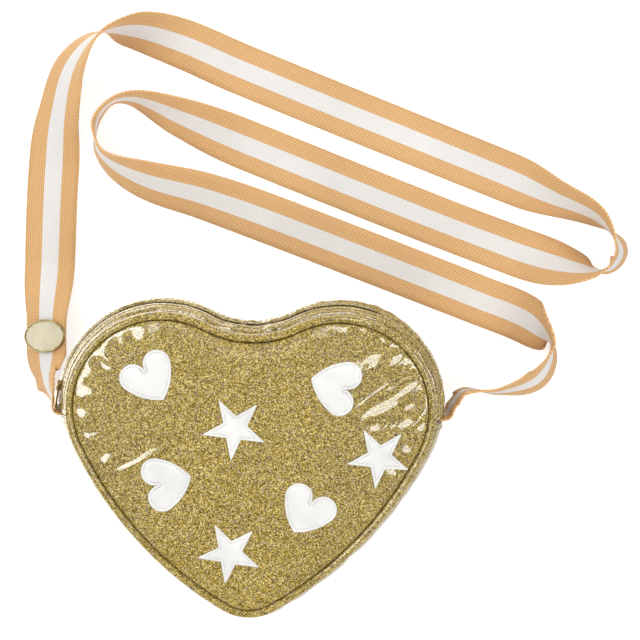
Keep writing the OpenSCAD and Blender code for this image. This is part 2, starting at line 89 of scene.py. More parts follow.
# Strap route: x, y and height of the middle in metres, and roll in degrees. Height zero rests on the ground
ROUTE = np.array([
    [-0.0865, 0.0252, 0.017, -90], [-0.0945, 0.0246, 0.017, -90], [-0.098, 0.0295, 0.0156, -76],
    [-0.101, 0.038, 0.0125, -60], [-0.102, 0.05, 0, -33], [-0.102, 0.068, 0, -33], [-0.101, 0.094, 0, 0],
    [-0.099, 0.142, 0, 0], [-0.096, 0.168, 0, -32], [-0.09, 0.191, 0, -50], [-0.076, 0.2075, 0, -88],
    [-0.06, 0.2095, 0, -137], [-0.038, 0.2035, 0, -168], [-0.008, 0.191, 0, -180], [0.122, 0.141, 0, -180],
    [0.146, 0.1316, 0, -141], [0.165, 0.124, 0, -118], [0.174, 0.115, 0, -90], [0.178, 0.105, 0, -66],
    [0.172, 0.0975, 0, -74], [0.156, 0.0975, 0, -126], [0.126, 0.105, 0, -178], [-0.002, 0.153, 0, -182],
    [-0.036, 0.1675, 0, -214], [-0.058, 0.1765, 0, -246], [-0.07, 0.175, 0, -262], [-0.0775, 0.165, 0, -266],
    [-0.075, 0.15, 0, -288], [-0.056, 0.138, 0, -322], [-0.025, 0.129, 0, -345], [0.008, 0.1175, 0, -358],
    [0.112, 0.079, 0, -358], [0.136, 0.0695, 0, -346], [0.146, 0.0605, 0, -272], [0.1405, 0.043, 0, -236],
    [0.122, 0.0362, 0, -252], [0.104, 0.0358, 0.0126, -267], [0.0985, 0.0298, 0.015, -273],
    [0.095, 0.0247, 0.0166, -270], [0.0865, 0.0252, 0.017, -270],
])
STRAP_W = 0.025
STRAP_T = 0.0012
STRAP_LIFT = 0.0003
BADGE_STRETCH = 4

# Patches: centre as a share of half the body's width, and turn of the axis in degrees
BODY_HALF_W = 0.0855
HEARTS = [(-0.561, 0.529, 123), (-0.457, -0.054, -164), (0.32, -0.209, 61), (0.466, 0.512, -17)]
STARS = [(-0.086, 0.263, 48), (0.726, 0.107, 48), (-0.106, -0.455, 46)]

# Folds pressed into the front's film: both ends and half width in metres, and slope to the left of their way
CREASES = [
    (0.0505, 0.0523, 0.0756, 0.0609, 0.0033, 0.27), (0.0462, 0.0304, 0.0809, 0.0572, 0.0009, 0.31),
    (0.0463, 0.0221, 0.0807, 0.0455, 0.0025, 0.32), (0.0554, 0.0222, 0.0640, 0.0258, 0.0022, 0.30),
    (0.0689, 0.0210, 0.0839, 0.0335, 0.0020, 0.32), (-0.0698, -0.0025, -0.0416, 0.0132, 0.0016, 0.27),
]

# Front: height of its sewn edge over the piping's middle, and share of the rise that the tuck takes
FRONT_EDGE_RISE = 0.0009
TUCK_SHARE = 0.3
EDGE_CALM = 0.006
FOLD_REACH = 0.008

# Side bands: groove beside the piping, sewn line beside the zip, lips of the slit, and folds at the notch
PRESS_DEPTH, PRESS_AT, PRESS_WIDTH = 0.0016, 0.0022, 0.0008
SEWN_DEPTH, SEWN_AT, SEWN_WIDTH = 0.00022, 0.0042, 0.0005
LIP_DROP, LIP_REACH = 0.0006, 0.0004
NOTCH_FOLD, NOTCH_REACH = 0.0009, 0.017
END_TUCK, END_TUCK_REACH = 0.0005, 0.0012
TAPE_COVER = 0.0014

# Patch outlines, in metres
HEART_LOBE_R, HEART_RISE, HEART_SIDE_R = 0.0067, 0.0165, 0.027
STAR_R, STAR_INNER_R, STAR_BLUNT = 0.0154, 0.0062, 0.014
PATCH_STITCH = 0.0017

# Badge: half width and half height, turn on the webbing, and the rim's half width and height
BADGE_HALF = np.array([0.0129, 0.0083])
BADGE_LEAN = math.radians(-12)
BADGE_INSET = 0.0009
BADGE_RIM, BADGE_RIM_TALL = 0.0006, 0.0010
BADGE_SIDES, BADGE_RINGS, RIM_SIDES = 192, 16, 12

# Glitter: size of a flake in metres, how far flakes tilt, and roughness of the clear coat over them
BODY_GLITTER = (0.00043, 0.5, 0.05)
PIPING_GLITTER = (0.00043, 0.5, 0.07)
BADGE_GLITTER = (0.0004, 0.8, 0.12)

# The front's clear coat is weak round a line just left of the middle, and full further out and on the sides
COAT_SHIFT = 0.005
COAT_WEAK_TO, COAT_FULL_FROM, COAT_LEAST = 0.034, 0.05, 0.1
COAT_SIDES_TO, COAT_FRONT_FROM = 0.043, 0.0445

# Floor: glow for the camera, and range of the glow that mirrors see, from the lower right to the upper left
FLOOR_HALF = 2.5
FLOOR_Z = -0.0003
FLOOR_GLOW = 0.64
MIRROR_FROM, MIRROR_TO = -0.05, 0.14
MIRROR_LOW, MIRROR_HIGH = 0.3, 4.0

# Softboxes light matte surfaces only: place, side in metres and share of the stage's power
SOFTBOXES = {
    "softbox_upper_left": ((-0.75, 0.62, 0.95), 0.55, 0.7), "softbox_right": ((0.95, -0.15, 0.85), 0.45, 0.4),
    "softbox_top": ((0.1, 1.25, 0.55), 0.7, 0.5), "softbox_low": ((0.05, -1.0, 0.75), 0.6, 0.5),
}
# Strip lamps show in glossy surfaces only: place, sides, share of the glint and way of the long side
STRIPS = {
    "strip_left": ((-0.56, 0.175, 1.10), (0.6, 0.3), 1.0, (-0.44, -0.89, -0.13)),
    "strip_right": ((0.605, 0.025, 1.08), (0.42, 0.28), 0.7, (0, 1, 0)),
    "strip_top": ((0.03, 0.45, 1.1), (0.42, 0.34), 0.7, (1, 0, 0)),
}
LAMPS_FACE = (0.0, 0.04, 0.02)
MIRRORED_SKY = 0.45


def metres(name, description, value, low, high):
    return FloatProperty(name=name, description=description, default=value, min=low, max=high, unit="LENGTH")


def number(name, description, value, low, high):
    return FloatProperty(name=name, description=description, default=value, min=low, max=high)


def tint(name, description, value):
    return FloatVectorProperty(name=name, description=description, default=value, subtype="COLOR", size=3,
                               min=0, max=1)


class BAG_PG_body(PropertyGroup):
    puff: metres("Puff", "Swell of the front beyond the plain dome", 0.0014, 0, 0.005)
    roll_in: metres("Roll in", "Distance over which the front slopes down to its seam", 0.0055, 0.002, 0.01)
    tuck: metres("Tuck", "Distance over which the front turns down into its seam", 0.0005, 0.0003, 0.002)
    ripple: metres("Ripple", "Height of the soft waves in the vinyl", 0.00014, 0, 0.001)
    pucker: metres("Pucker", "Height of the small folds along the seams", 0.00022, 0, 0.001)
    crease: number("Crease", "Strength of the pressed creases", 1.0, 0, 2)


class BAG_PG_zip(PropertyGroup):
    tooth_pitch: metres("Tooth pitch", "Distance from one tooth to the next", 0.00125, 0.001, 0.002)
    metal_round: metres("Metal rounding", "Rounding of the slider and the puller", 0.00015, 0.00005, 0.0003)


class BAG_PG_patches(PropertyGroup):
    height: metres("Height", "Height of a patch above the front", 0.0008, 0.0004, 0.0015)
    inset: metres("Stitch inset", "Distance of the sewn line from a patch's edge", 0.0013, 0.0008, 0.002)
    groove: metres("Groove", "Depth of the sewn line", 0.0003, 0, 0.0006)


class BAG_PG_sewing(PropertyGroup):
    pitch: metres("Stitch pitch", "Distance from one stitch to the next", 0.0026, 0.0015, 0.005)
    thread: metres("Thread", "Radius of the sewing thread", 0.00019, 0.0001, 0.0004)


class BAG_PG_webbing(PropertyGroup):
    step: metres("Step", "Distance between the webbing's cross sections", 0.0005, 0.0004, 0.002)
    serration: metres("Serration", "Height of the selvedge's small loops", 0.00014, 0, 0.0004)
    stripe: metres("Stripe", "Width of the middle stripe", 0.0083, 0.004, 0.015)


class BAG_PG_finish(PropertyGroup):
    gold: tint("Gold flakes", "Main colour of the glitter", (0.365, 0.247, 0.018))
    pale: tint("Pale flakes", "Brightest flakes", (0.90, 0.72, 0.27))
    grey: tint("Grey flakes", "Cool flakes", (0.43, 0.37, 0.32))
    olive: tint("Olive flakes", "Darkest flakes", (0.10, 0.06, 0.005))
    white: tint("Patches", "Colour of the hearts and stars", (0.87, 0.86, 0.835))
    tan: tint("Webbing", "Colour of the webbing", (0.90, 0.53, 0.23))
    stripe: tint("Stripe", "Colour of the webbing's middle stripe", (0.86, 0.83, 0.80))
    badge: tint("Badge", "Colour of the badge's face", (0.76, 0.69, 0.49))
    lining: tint("Lining", "Colour of the lining cloth", (0.62, 0.50, 0.32))
    foam: tint("Foam", "Colour of the foam sheets", (0.80, 0.78, 0.70))
    filler: tint("Filler", "Colour of the cord inside the piping", (0.80, 0.78, 0.68))
    zip: tint("Zip", "Colour of the zip's tape and teeth", (0.06, 0.035, 0.013))
    metal: tint("Metal", "Colour of the slider and puller", (0.35, 0.24, 0.11))


class BAG_PG_stage(PropertyGroup):
    distance: metres("Camera distance", "Distance from the camera to its target", 1.2, 0.5, 3)
    target: FloatVectorProperty(name="Camera target", description="Point at the middle of the picture",
                                size=3, default=(0.0325, 0.068, 0.0), subtype="TRANSLATION")
    lens: number("Lens", "Focal length in millimetres", 136.4, 50, 300)
    tilt: number("Tilt", "Lean of the camera towards the lobes in degrees", 9.0, 0, 30)
    roll: number("Roll", "Turn of the picture in degrees", 1.0, -10, 10)
    softbox: number("Softbox", "Power in watts that each softbox takes a share of", 7.0, 0, 100)
    glint: number("Glint", "Brightness of the strip lamps in glossy surfaces", 12.0, 0, 60)
    sky: number("Sky", "Strength of the even light from all round", 0.62, 0, 2)


# Curves and surfaces of the bag

def side_centre():
    reach = np.linalg.norm(TIP - LOBE)
    way = (TIP - LOBE) / reach
    foot = ((SIDE_R - LOBE_R) ** 2 - (SIDE_R - TIP_R) ** 2 + reach ** 2) / (2 * reach)
    return LOBE + way * foot - np.array([-way[1], way[0]]) * math.sqrt((SIDE_R - LOBE_R) ** 2 - foot ** 2)


def bearing(a, b):
    return math.atan2(b[1] - a[1], b[0] - a[0])


SIDE = side_centre()
NOTCH = np.array([0.0, LOBE[1] + math.sqrt((NOTCH_R + LOBE_R) ** 2 - LOBE[0] ** 2)])
LOBE_LOW = bearing(SIDE, LOBE)
SIDE_LOW = bearing(SIDE, TIP)
LOBE_HIGH = bearing(LOBE, NOTCH)

# Each arc of the right half: centre, radius, first and last angle, and which way is outward
ARCS = [
    (NOTCH, NOTCH_R, math.radians(270), LOBE_HIGH + math.pi, -1),
    (LOBE, LOBE_R, LOBE_HIGH, LOBE_LOW, 1),
    (SIDE, SIDE_R, LOBE_LOW, SIDE_LOW, 1),
    (TIP, TIP_R, SIDE_LOW, -math.pi / 2, 1),
]
HALF_LENGTH = sum(r * abs(b - a) for _, r, a, b, _ in ARCS)
SEAM_LENGTH = 2 * HALF_LENGTH
NOTCH_LENGTH = NOTCH_R * (LOBE_HIGH - math.pi / 2)


def seam_at(s):
    """Points of the seam line and their outward directions, by the distance clockwise from the notch."""
    s = np.mod(np.asarray(s, float), SEAM_LENGTH)
    left = s > HALF_LENGTH
    t = np.where(left, SEAM_LENGTH - s, s)
    points = np.zeros(t.shape + (2,))
    out = np.zeros(t.shape + (2,))
    start = 0.0
    for centre, radius, a, b, way in ARCS:
        length = radius * abs(b - a)
        here = (t >= start - 1e-9) & (t <= start + length + 1e-9)
        angle = a + (b - a) * (t[here] - start) / length
        ray = np.stack([np.cos(angle), np.sin(angle)], axis=1)
        points[here] = centre + radius * ray
        out[here] = way * ray
        start += length
    points[left, 0] *= -1
    out[left, 0] *= -1
    return points, out


def lobe_distance(angle):
    """Distance along the seam line from the notch to an angle on a lobe."""
    return NOTCH_LENGTH + LOBE_R * (LOBE_HIGH - angle)


SEAM_STEPS = np.linspace(0, SEAM_LENGTH, 1400, endpoint=False)
SEAM_POINTS, SEAM_OUT = seam_at(SEAM_STEPS)


def seam_distance(xy):
    """Distance of each point from the seam line, and where along it the nearest place is."""
    nearest = np.empty(len(xy), dtype=int)
    for i in range(0, len(xy), 3000):
        gap = ((xy[i:i + 3000, None, :] - SEAM_POINTS[None]) ** 2).sum(axis=2)
        nearest[i:i + 3000] = gap.argmin(axis=1)
    way, out = xy - SEAM_POINTS[nearest], SEAM_OUT[nearest]
    along = SEAM_STEPS[nearest] + way[:, 0] * out[:, 1] - way[:, 1] * out[:, 0]
    return np.abs((way * out).sum(axis=1)), along


def waves(x, y, length, seed, count=10):
    """A smooth random field between about -1 and 1, from waves of about one length."""
    rng = np.random.default_rng(seed)
    total = np.zeros_like(x)
    for _ in range(count):
        heading = rng.uniform(0, 2 * math.pi)
        turn = 2 * math.pi / (length * rng.uniform(0.7, 1.6))
        total += np.sin(turn * (x * math.cos(heading) + y * math.sin(heading)) + rng.uniform(0, 2 * math.pi))
    return total / math.sqrt(count)


def seam_waves(s, length, seed, count=8):
    """The same along the seam line, closing where the line does."""
    rng = np.random.default_rng(seed)
    total = np.zeros_like(s)
    turns = SEAM_LENGTH / length
    for _ in range(count):
        turn = round(turns * rng.uniform(0.6, 1.5))
        total += np.sin(2 * math.pi * turn * s / SEAM_LENGTH + rng.uniform(0, 2 * math.pi))
    return total / math.sqrt(count)


def crease_height(x, y):
    total = np.zeros_like(x)
    for x0, y0, x1, y1, half, slope in CREASES:
        length = math.hypot(x1 - x0, y1 - y0)
        ex, ey = (x1 - x0) / length, (y1 - y0) / length
        t = ((x - x0) * ex + (y - y0) * ey) / length
        w = -(x - x0) * ey + (y - y0) * ex
        w = w + 0.25 * half * np.sin(9 * t + 40 * x0)
        reach = half * np.sqrt(np.clip(t, 0, 1) * np.clip(1 - t, 0, 1) * 4)
        fade = np.exp(-(np.maximum(np.abs(w) - reach, 0) / 0.0022) ** 2)
        total -= slope * np.clip(w, -reach, reach) * fade
    return total


def front_height(xy):
    """Height of the front's outer surface, with its rolled edge, waves, puckers and creases."""
    body = bpy.context.scene.bag_body
    depth, along = seam_distance(xy)
    x, y = xy[:, 0], xy[:, 1]
    crown = CROWN_Z - (x * x + y * y) / (2 * CROWN_R) + body.puff
    low = FRONT_PIPE_Z + FRONT_EDGE_RISE
    rise = 1 - TUCK_SHARE * np.exp(-depth / body.tuck) - (1 - TUCK_SHARE) * np.exp(-depth / body.roll_in)
    inner = 1 - np.exp(-depth / EDGE_CALM)
    fold = seam_waves(along, 0.017, 3) * np.exp(-depth / FOLD_REACH) * inner * 3
    return (low + (crown - low) * rise + body.pucker * fold
            + body.ripple * inner * waves(x, y, 0.034, 5)
            + 0.4 * body.ripple * inner * waves(x, y, 0.013, 8)
            + body.crease * inner * crease_height(x, y))


def band_point(angle, height):
    """Point of the side band's cross section, outward and up, at an angle and a height above its surface."""
    return np.array([BAND_MID[0] + (BAND_R + height) * math.cos(angle),
                     BAND_MID[1] + (BAND_R + height) * math.sin(angle)])


def smooth_step(t):
    t = np.clip(t, 0, 1)
    return t * t * (3 - 2 * t)


# Meshes

def make_mesh(name, points, faces, material):
    mesh = bpy.data.meshes.new(name)
    mesh.from_pydata([tuple(p) for p in points], [], [tuple(f) for f in faces])
    mesh.materials.append(material)
    mesh.polygons.foreach_set("use_smooth", [True] * len(mesh.polygons))
    mesh.update()
    piece = bpy.data.objects.new(name, mesh)
    bpy.context.scene.collection.objects.link(piece)
    return piece


def set_uv(piece, uv):
    """Gives the piece a UV map from one pair of numbers for each of its vertices."""
    layer = piece.data.uv_layers.new(name="Surface")
    corners = np.empty(len(piece.data.loops), dtype=np.int32)
    piece.data.loops.foreach_get("vertex_index", corners)
    layer.data.foreach_set("uv", np.asarray(uv, dtype=np.float32)[corners].ravel())


def outward(piece):
    """Makes a closed piece's faces point outwards."""
    work = bmesh.new()
    work.from_mesh(piece.data)
    bmesh.ops.recalc_face_normals(work, faces=work.faces)
    work.to_mesh(piece.data)
    work.free()
    return piece


def tube_faces(rings, sides, closed):
    """Faces between rings of points, with flat ends on an open tube."""
    faces = []
    last = rings if closed else rings - 1
    for i in range(last):
        a, b = i * sides, (i + 1) % rings * sides
        faces += [(a + k, a + (k + 1) % sides, b + (k + 1) % sides, b + k) for k in range(sides)]
    if not closed:
        faces.append(tuple(range(sides - 1, -1, -1)))
        faces.append(tuple((rings - 1) * sides + k for k in range(sides)))
    return faces


def swept(name, s, sections, material, closed=False):
    """Sweeps cross sections, drawn outward and up, along the seam line."""
    points, out = seam_at(s)
    sections = np.asarray(sections)
    if sections.ndim == 2:
        sections = np.broadcast_to(sections, (len(s),) + sections.shape)
    xy = points[:, None, :] + out[:, None, :] * sections[:, :, :1]
    xyz = np.concatenate([xy, sections[:, :, 1:]], axis=2)
    piece = make_mesh(name, xyz.reshape(-1, 3), tube_faces(len(s), sections.shape[1], closed), material)
    return outward(piece)


def disc_points(outline, centre, rings, power):
    """Points on rings drawn in from an outline to its centre, the outline first."""
    shares = [1 - (j / rings) ** power for j in range(rings)]
    return np.concatenate([centre + (outline - centre) * f for f in shares])


def disc_faces(sides, rings, first, flip=False):
    """Faces of such rings, closed by a fan at their centre point, which comes after them."""
    faces = []
    for j in range(rings - 1):
        a, b = first + j * sides, first + (j + 1) * sides
        faces += [(a + k, a + (k + 1) % sides, b + (k + 1) % sides, b + k) for k in range(sides)]
    a, middle = first + (rings - 1) * sides, first + rings * sides
    faces += [(a + k, a + (k + 1) % sides, middle) for k in range(sides)]
    return [f[::-1] for f in faces] if flip else faces


def sheet_faces(sides, rings, count):
    """Faces of a closed sheet: an upper and a lower disc of count points each, and the edge between them."""
    faces = disc_faces(sides, rings, 0) + disc_faces(sides, rings, count, flip=True)
    return faces + [(k, count + k, count + (k + 1) % sides, (k + 1) % sides) for k in range(sides)]


def pillow(name, outline, centre, rings, power, top, bottom, material):
    """A closed sheet over an outline, between two surfaces that are given as functions of x and y."""
    xy = np.concatenate([disc_points(outline, centre, rings, power), centre[None]])
    upper = np.column_stack([xy, top(xy)])
    lower = np.column_stack([xy, bottom(xy)])
    faces = sheet_faces(len(outline), rings, len(xy))
    return outward(make_mesh(name, np.concatenate([upper, lower]), faces, material))


def sharpen(piece, degrees=40):
    """Keeps the piece's sharp edges sharp under smooth shading."""
    piece.data.set_sharp_from_angle(angle=math.radians(degrees))


def even_outline(points, count):
    """The same closed outline with its points an equal distance apart."""
    points = np.concatenate([points, points[:1]])
    run = np.concatenate([[0], np.cumsum(np.linalg.norm(np.diff(points, axis=0), axis=1))])
    at = np.linspace(0, run[-1], count, endpoint=False)
    return np.stack([np.interp(at, run, points[:, k]) for k in range(points.shape[1])], axis=1)


# Trees of geometry nodes

class Tree:
    """A node tree with named inputs, built a node at a time."""

    def __init__(self, name, kind):
        self.tree = bpy.data.node_groups.new(name, kind)
        if kind == "GeometryNodeTree":
            self.tree.is_modifier = True
        self.inlet = self.tree.nodes.new("NodeGroupInput")
        self.outlet = self.tree.nodes.new("NodeGroupOutput")

    def takes(self, name, kind, value=None):
        socket = self.tree.interface.new_socket(name, in_out="INPUT", socket_type="NodeSocket" + kind)
        if value is not None:
            socket.default_value = value
        return self.inlet.outputs[name]

    def gives(self, name, kind, source):
        self.tree.interface.new_socket(name, in_out="OUTPUT", socket_type="NodeSocket" + kind)
        self.tree.links.new(source, self.outlet.inputs[name])

    def add(self, kind, *values, **settings):
        """Adds a node. values fill its inputs in order or by name: sockets are linked, other values set."""
        return add_node(self.tree, kind, *values, **settings)


def add_node(tree, kind, *values, **settings):
    node = tree.nodes.new(kind)
    for name, value in settings.items():
        setattr(node, name, value)
    for key, value in (values[0].items() if values and isinstance(values[0], dict) else enumerate(values)):
        if value is None:
            continue
        if isinstance(value, bpy.types.NodeSocket):
            tree.links.new(value, node.inputs[key])
        else:
            node.inputs[key].default_value = value
    return node


def stitch_tree():
    """Short rounded stitches along a line, each a little sunk at its ends."""
    t = Tree("Row of stitches", "GeometryNodeTree")
    line = t.takes("Geometry", "Geometry")
    pitch = t.takes("Pitch", "Float", 0.0026)
    radius = t.takes("Thread radius", "Float", 0.00019)
    fill = t.takes("Fill", "Float", 0.72)
    material = t.takes("Material", "Material")
    curve = t.add("GeometryNodeMeshToCurve", line)
    even = t.add("GeometryNodeResampleCurve", {"Curve": curve.outputs[0], "Length": pitch}, mode="LENGTH")
    half = t.add("ShaderNodeMath", pitch, 0.5, operation="MULTIPLY")
    reach = t.add("ShaderNodeMath", half.outputs[0], fill, operation="MULTIPLY")
    ball = t.add("GeometryNodeMeshUVSphere", {"Segments": 8, "Rings": 7, "Radius": 1.0})
    size = t.add("ShaderNodeCombineXYZ", radius, radius, reach.outputs[0])
    shaped = t.add("GeometryNodeTransform", {"Geometry": ball.outputs[0], "Scale": size.outputs[0]})
    tangent = t.add("GeometryNodeInputTangent")
    turn = t.add("FunctionNodeAlignRotationToVector", {"Vector": tangent.outputs[0]}, axis="Z")
    rows = t.add("GeometryNodeInstanceOnPoints", {"Points": even.outputs[0], "Instance": shaped.outputs[0],
                                                  "Rotation": turn.outputs[0]})
    real = t.add("GeometryNodeRealizeInstances", rows.outputs[0])
    smooth = t.add("GeometryNodeSetShadeSmooth", real.outputs[0])
    done = t.add("GeometryNodeSetMaterial", {"Geometry": smooth.outputs[0], "Material": material})
    t.gives("Geometry", "Geometry", done.outputs[0])
    return t.tree


def teeth_tree():
    """Coil teeth along a line: each a bar with a rounded head, square to the line and its outward way."""
    t = Tree("Row of zip teeth", "GeometryNodeTree")
    line = t.takes("Geometry", "Geometry")
    pitch = t.takes("Pitch", "Float", 0.00125)
    width = t.takes("Tooth width", "Float", TEETH_WIDTH)
    height = t.takes("Tooth height", "Float", TEETH_HEIGHT)
    material = t.takes("Material", "Material")
    curve = t.add("GeometryNodeMeshToCurve", line)
    even = t.add("GeometryNodeResampleCurve", {"Curve": curve.outputs[0], "Length": pitch}, mode="LENGTH")
    thick = t.add("ShaderNodeMath", pitch, 0.46, operation="MULTIPLY")
    ball = t.add("GeometryNodeMeshUVSphere", {"Segments": 10, "Rings": 7, "Radius": 0.5})
    bar_size = t.add("ShaderNodeCombineXYZ", width, height, thick.outputs[0])
    bar = t.add("GeometryNodeTransform", {"Geometry": ball.outputs[0], "Scale": bar_size.outputs[0]})
    head_w = t.add("ShaderNodeMath", width, 0.36, operation="MULTIPLY")
    head_t = t.add("ShaderNodeMath", pitch, 0.7, operation="MULTIPLY")
    head_h = t.add("ShaderNodeMath", height, 0.86, operation="MULTIPLY")
    head_size = t.add("ShaderNodeCombineXYZ", head_w.outputs[0], head_h.outputs[0], head_t.outputs[0])
    shift = t.add("ShaderNodeMath", width, -0.32, operation="MULTIPLY")
    place = t.add("ShaderNodeCombineXYZ", shift.outputs[0], 0.0, 0.0)
    head = t.add("GeometryNodeTransform", {"Geometry": ball.outputs[0], "Scale": head_size.outputs[0],
                                           "Translation": place.outputs[0]})
    tooth = t.add("GeometryNodeJoinGeometry")
    t.tree.links.new(bar.outputs[0], tooth.inputs[0])
    t.tree.links.new(head.outputs[0], tooth.inputs[0])
    tangent = t.add("GeometryNodeInputTangent")
    away = t.add("GeometryNodeInputNamedAttribute", "away", data_type="FLOAT_VECTOR")
    turn = t.add("FunctionNodeAxesToRotation", {0: tangent.outputs[0], 1: away.outputs[0]}, primary_axis="Z",
                 secondary_axis="X")
    rows = t.add("GeometryNodeInstanceOnPoints", {"Points": even.outputs[0], "Instance": tooth.outputs[0],
                                                  "Rotation": turn.outputs[0]})
    real = t.add("GeometryNodeRealizeInstances", rows.outputs[0])
    smooth = t.add("GeometryNodeSetShadeSmooth", real.outputs[0])
    done = t.add("GeometryNodeSetMaterial", {"Geometry": smooth.outputs[0], "Material": material})
    t.gives("Geometry", "Geometry", done.outputs[0])
    return t.tree


def piping_tree():
    """A round tube along a closed line, slightly uneven, as vinyl pulled round a cord is."""
    t = Tree("Covered piping", "GeometryNodeTree")
    line = t.takes("Geometry", "Geometry")
    radius = t.takes("Radius", "Float", PIPE_R)
    uneven = t.takes("Unevenness", "Float", 0.00012)
    material = t.takes("Material", "Material")
    curve = t.add("GeometryNodeMeshToCurve", line)
    ring = t.add("GeometryNodeCurvePrimitiveCircle", {"Resolution": 18, "Radius": radius})
    tube = t.add("GeometryNodeCurveToMesh", {"Curve": curve.outputs[0], "Profile Curve": ring.outputs[0]})
    noise = t.add("ShaderNodeTexNoise", {"Scale": 190.0, "Detail": 2.0})
    middle = t.add("ShaderNodeMath", noise.outputs[0], 0.5, operation="SUBTRACT")
    lift = t.add("ShaderNodeMath", middle.outputs[0], uneven, operation="MULTIPLY")
    twice = t.add("ShaderNodeMath", lift.outputs[0], 2.0, operation="MULTIPLY")
    normal = t.add("GeometryNodeInputNormal")
    move = t.add("ShaderNodeVectorMath", {0: normal.outputs[0], "Scale": twice.outputs[0]}, operation="SCALE")
    moved = t.add("GeometryNodeSetPosition", {"Geometry": tube.outputs[0], "Offset": move.outputs[0]})
    smooth = t.add("GeometryNodeSetShadeSmooth", moved.outputs[0])
    real = t.add("GeometryNodeRealizeInstances", smooth.outputs[0])
    done = t.add("GeometryNodeSetMaterial", {"Geometry": real.outputs[0], "Material": material})
    t.gives("Geometry", "Geometry", done.outputs[0])
    return t.tree


def grow(name, points, maker, values, closed=False, away=None):
    """Runs a tree of geometry nodes on a line and returns its result as a plain piece."""
    count = len(points)
    edges = [(i, i + 1) for i in range(count - 1)] + ([(count - 1, 0)] if closed else [])
    mesh = bpy.data.meshes.new(name + "_line")
    mesh.from_pydata([tuple(p) for p in points], edges, [])
    if away is not None:
        layer = mesh.attributes.new("away", "FLOAT_VECTOR", "POINT")
        layer.data.foreach_set("vector", np.asarray(away, dtype=np.float32).ravel())
    line = bpy.data.objects.new(name + "_line", mesh)
    bpy.context.scene.collection.objects.link(line)
    tree_name = {stitch_tree: "Row of stitches", teeth_tree: "Row of zip teeth",
                 piping_tree: "Covered piping"}
    tree = bpy.data.node_groups.get(tree_name[maker]) or maker()
    modifier = line.modifiers.new("Nodes", "NODES")
    modifier.node_group = tree
    names = {item.name: item.identifier for item in tree.interface.items_tree if item.in_out == "INPUT"}
    for key, value in values.items():
        modifier[names[key]] = value
    graph = bpy.context.evaluated_depsgraph_get()
    made = bpy.data.meshes.new_from_object(line.evaluated_get(graph), depsgraph=graph)
    bpy.data.objects.remove(line)
    made.name = name
    piece = bpy.data.objects.new(name, made)
    bpy.context.scene.collection.objects.link(piece)
    if not made.polygons:
        raise RuntimeError(name + " came out empty")
    return piece


def joined(name, pieces):
    """One piece from several."""
    work = bmesh.new()
    materials = []
    for piece in pieces:
        if piece.data.materials[0] not in materials:
            materials.append(piece.data.materials[0])
        first = len(work.faces)
        work.from_mesh(piece.data)
        work.faces.ensure_lookup_table()
        slot = materials.index(piece.data.materials[0])
        for face in work.faces[first:]:
            face.material_index = slot
    mesh = bpy.data.meshes.new(name)
    work.to_mesh(mesh)
    work.free()
    for material in materials:
        mesh.materials.append(material)
    for piece in pieces:
        bpy.data.objects.remove(piece)
    whole = bpy.data.objects.new(name, mesh)
    bpy.context.scene.collection.objects.link(whole)
    return whole


# Shader groups and materials

def object_place(nodes):
    return nodes.add("ShaderNodeTexCoord").outputs["Object"]


def grain_group():
    """Glitter flakes: a colour for each flake and a normal that tilts flake by flake."""
    name = "Glitter flakes"
    if name in bpy.data.node_groups:
        return bpy.data.node_groups[name]
    t = Tree(name, "ShaderNodeTree")
    size = t.takes("Flake size", "Float", 0.0005)
    tilt = t.takes("Tilt", "Float", 0.6)
    gold, pale, grey, olive = [t.takes(n, "Color", (1, 1, 1, 1)) for n in ("Gold", "Pale", "Grey", "Olive")]
    scale = t.add("ShaderNodeMath", 1.0, size, operation="DIVIDE")
    place = object_place(t)
    cells = t.add("ShaderNodeTexVoronoi", {"Vector": place, "Scale": scale.outputs[0], "Randomness": 1.0})
    parts = t.add("ShaderNodeSeparateColor", cells.outputs["Color"])
    colour = gold
    for socket, flake, low, high in ((parts.outputs[0], olive, 0.52, 0.12),
                                     (parts.outputs[0], pale, 0.60, 0.98),
                                     (parts.outputs[1], grey, 0.90, 0.96)):
        mask = t.add("ShaderNodeMapRange", {"Value": socket, "From Min": low, "From Max": high})
        mix = t.add("ShaderNodeMix", {"Factor": mask.outputs[0]}, data_type="RGBA")
        t.tree.links.new(colour, mix.inputs[6])
        t.tree.links.new(flake, mix.inputs[7])
        colour = mix.outputs[2]
    centred = t.add("ShaderNodeVectorMath", {0: cells.outputs["Color"], 1: (0.5, 0.5, 0.5)},
                    operation="SUBTRACT")
    lean = t.add("ShaderNodeVectorMath", {0: centred.outputs[0], "Scale": tilt}, operation="SCALE")
    normal = t.add("ShaderNodeNewGeometry").outputs["Normal"]
    leaned = t.add("ShaderNodeVectorMath", {0: normal, 1: lean.outputs[0]}, operation="ADD")
    unit = t.add("ShaderNodeVectorMath", {0: leaned.outputs[0]}, operation="NORMALIZE")
    t.gives("Color", "Color", colour)
    t.gives("Normal", "Vector", unit.outputs[0])
    return t.tree


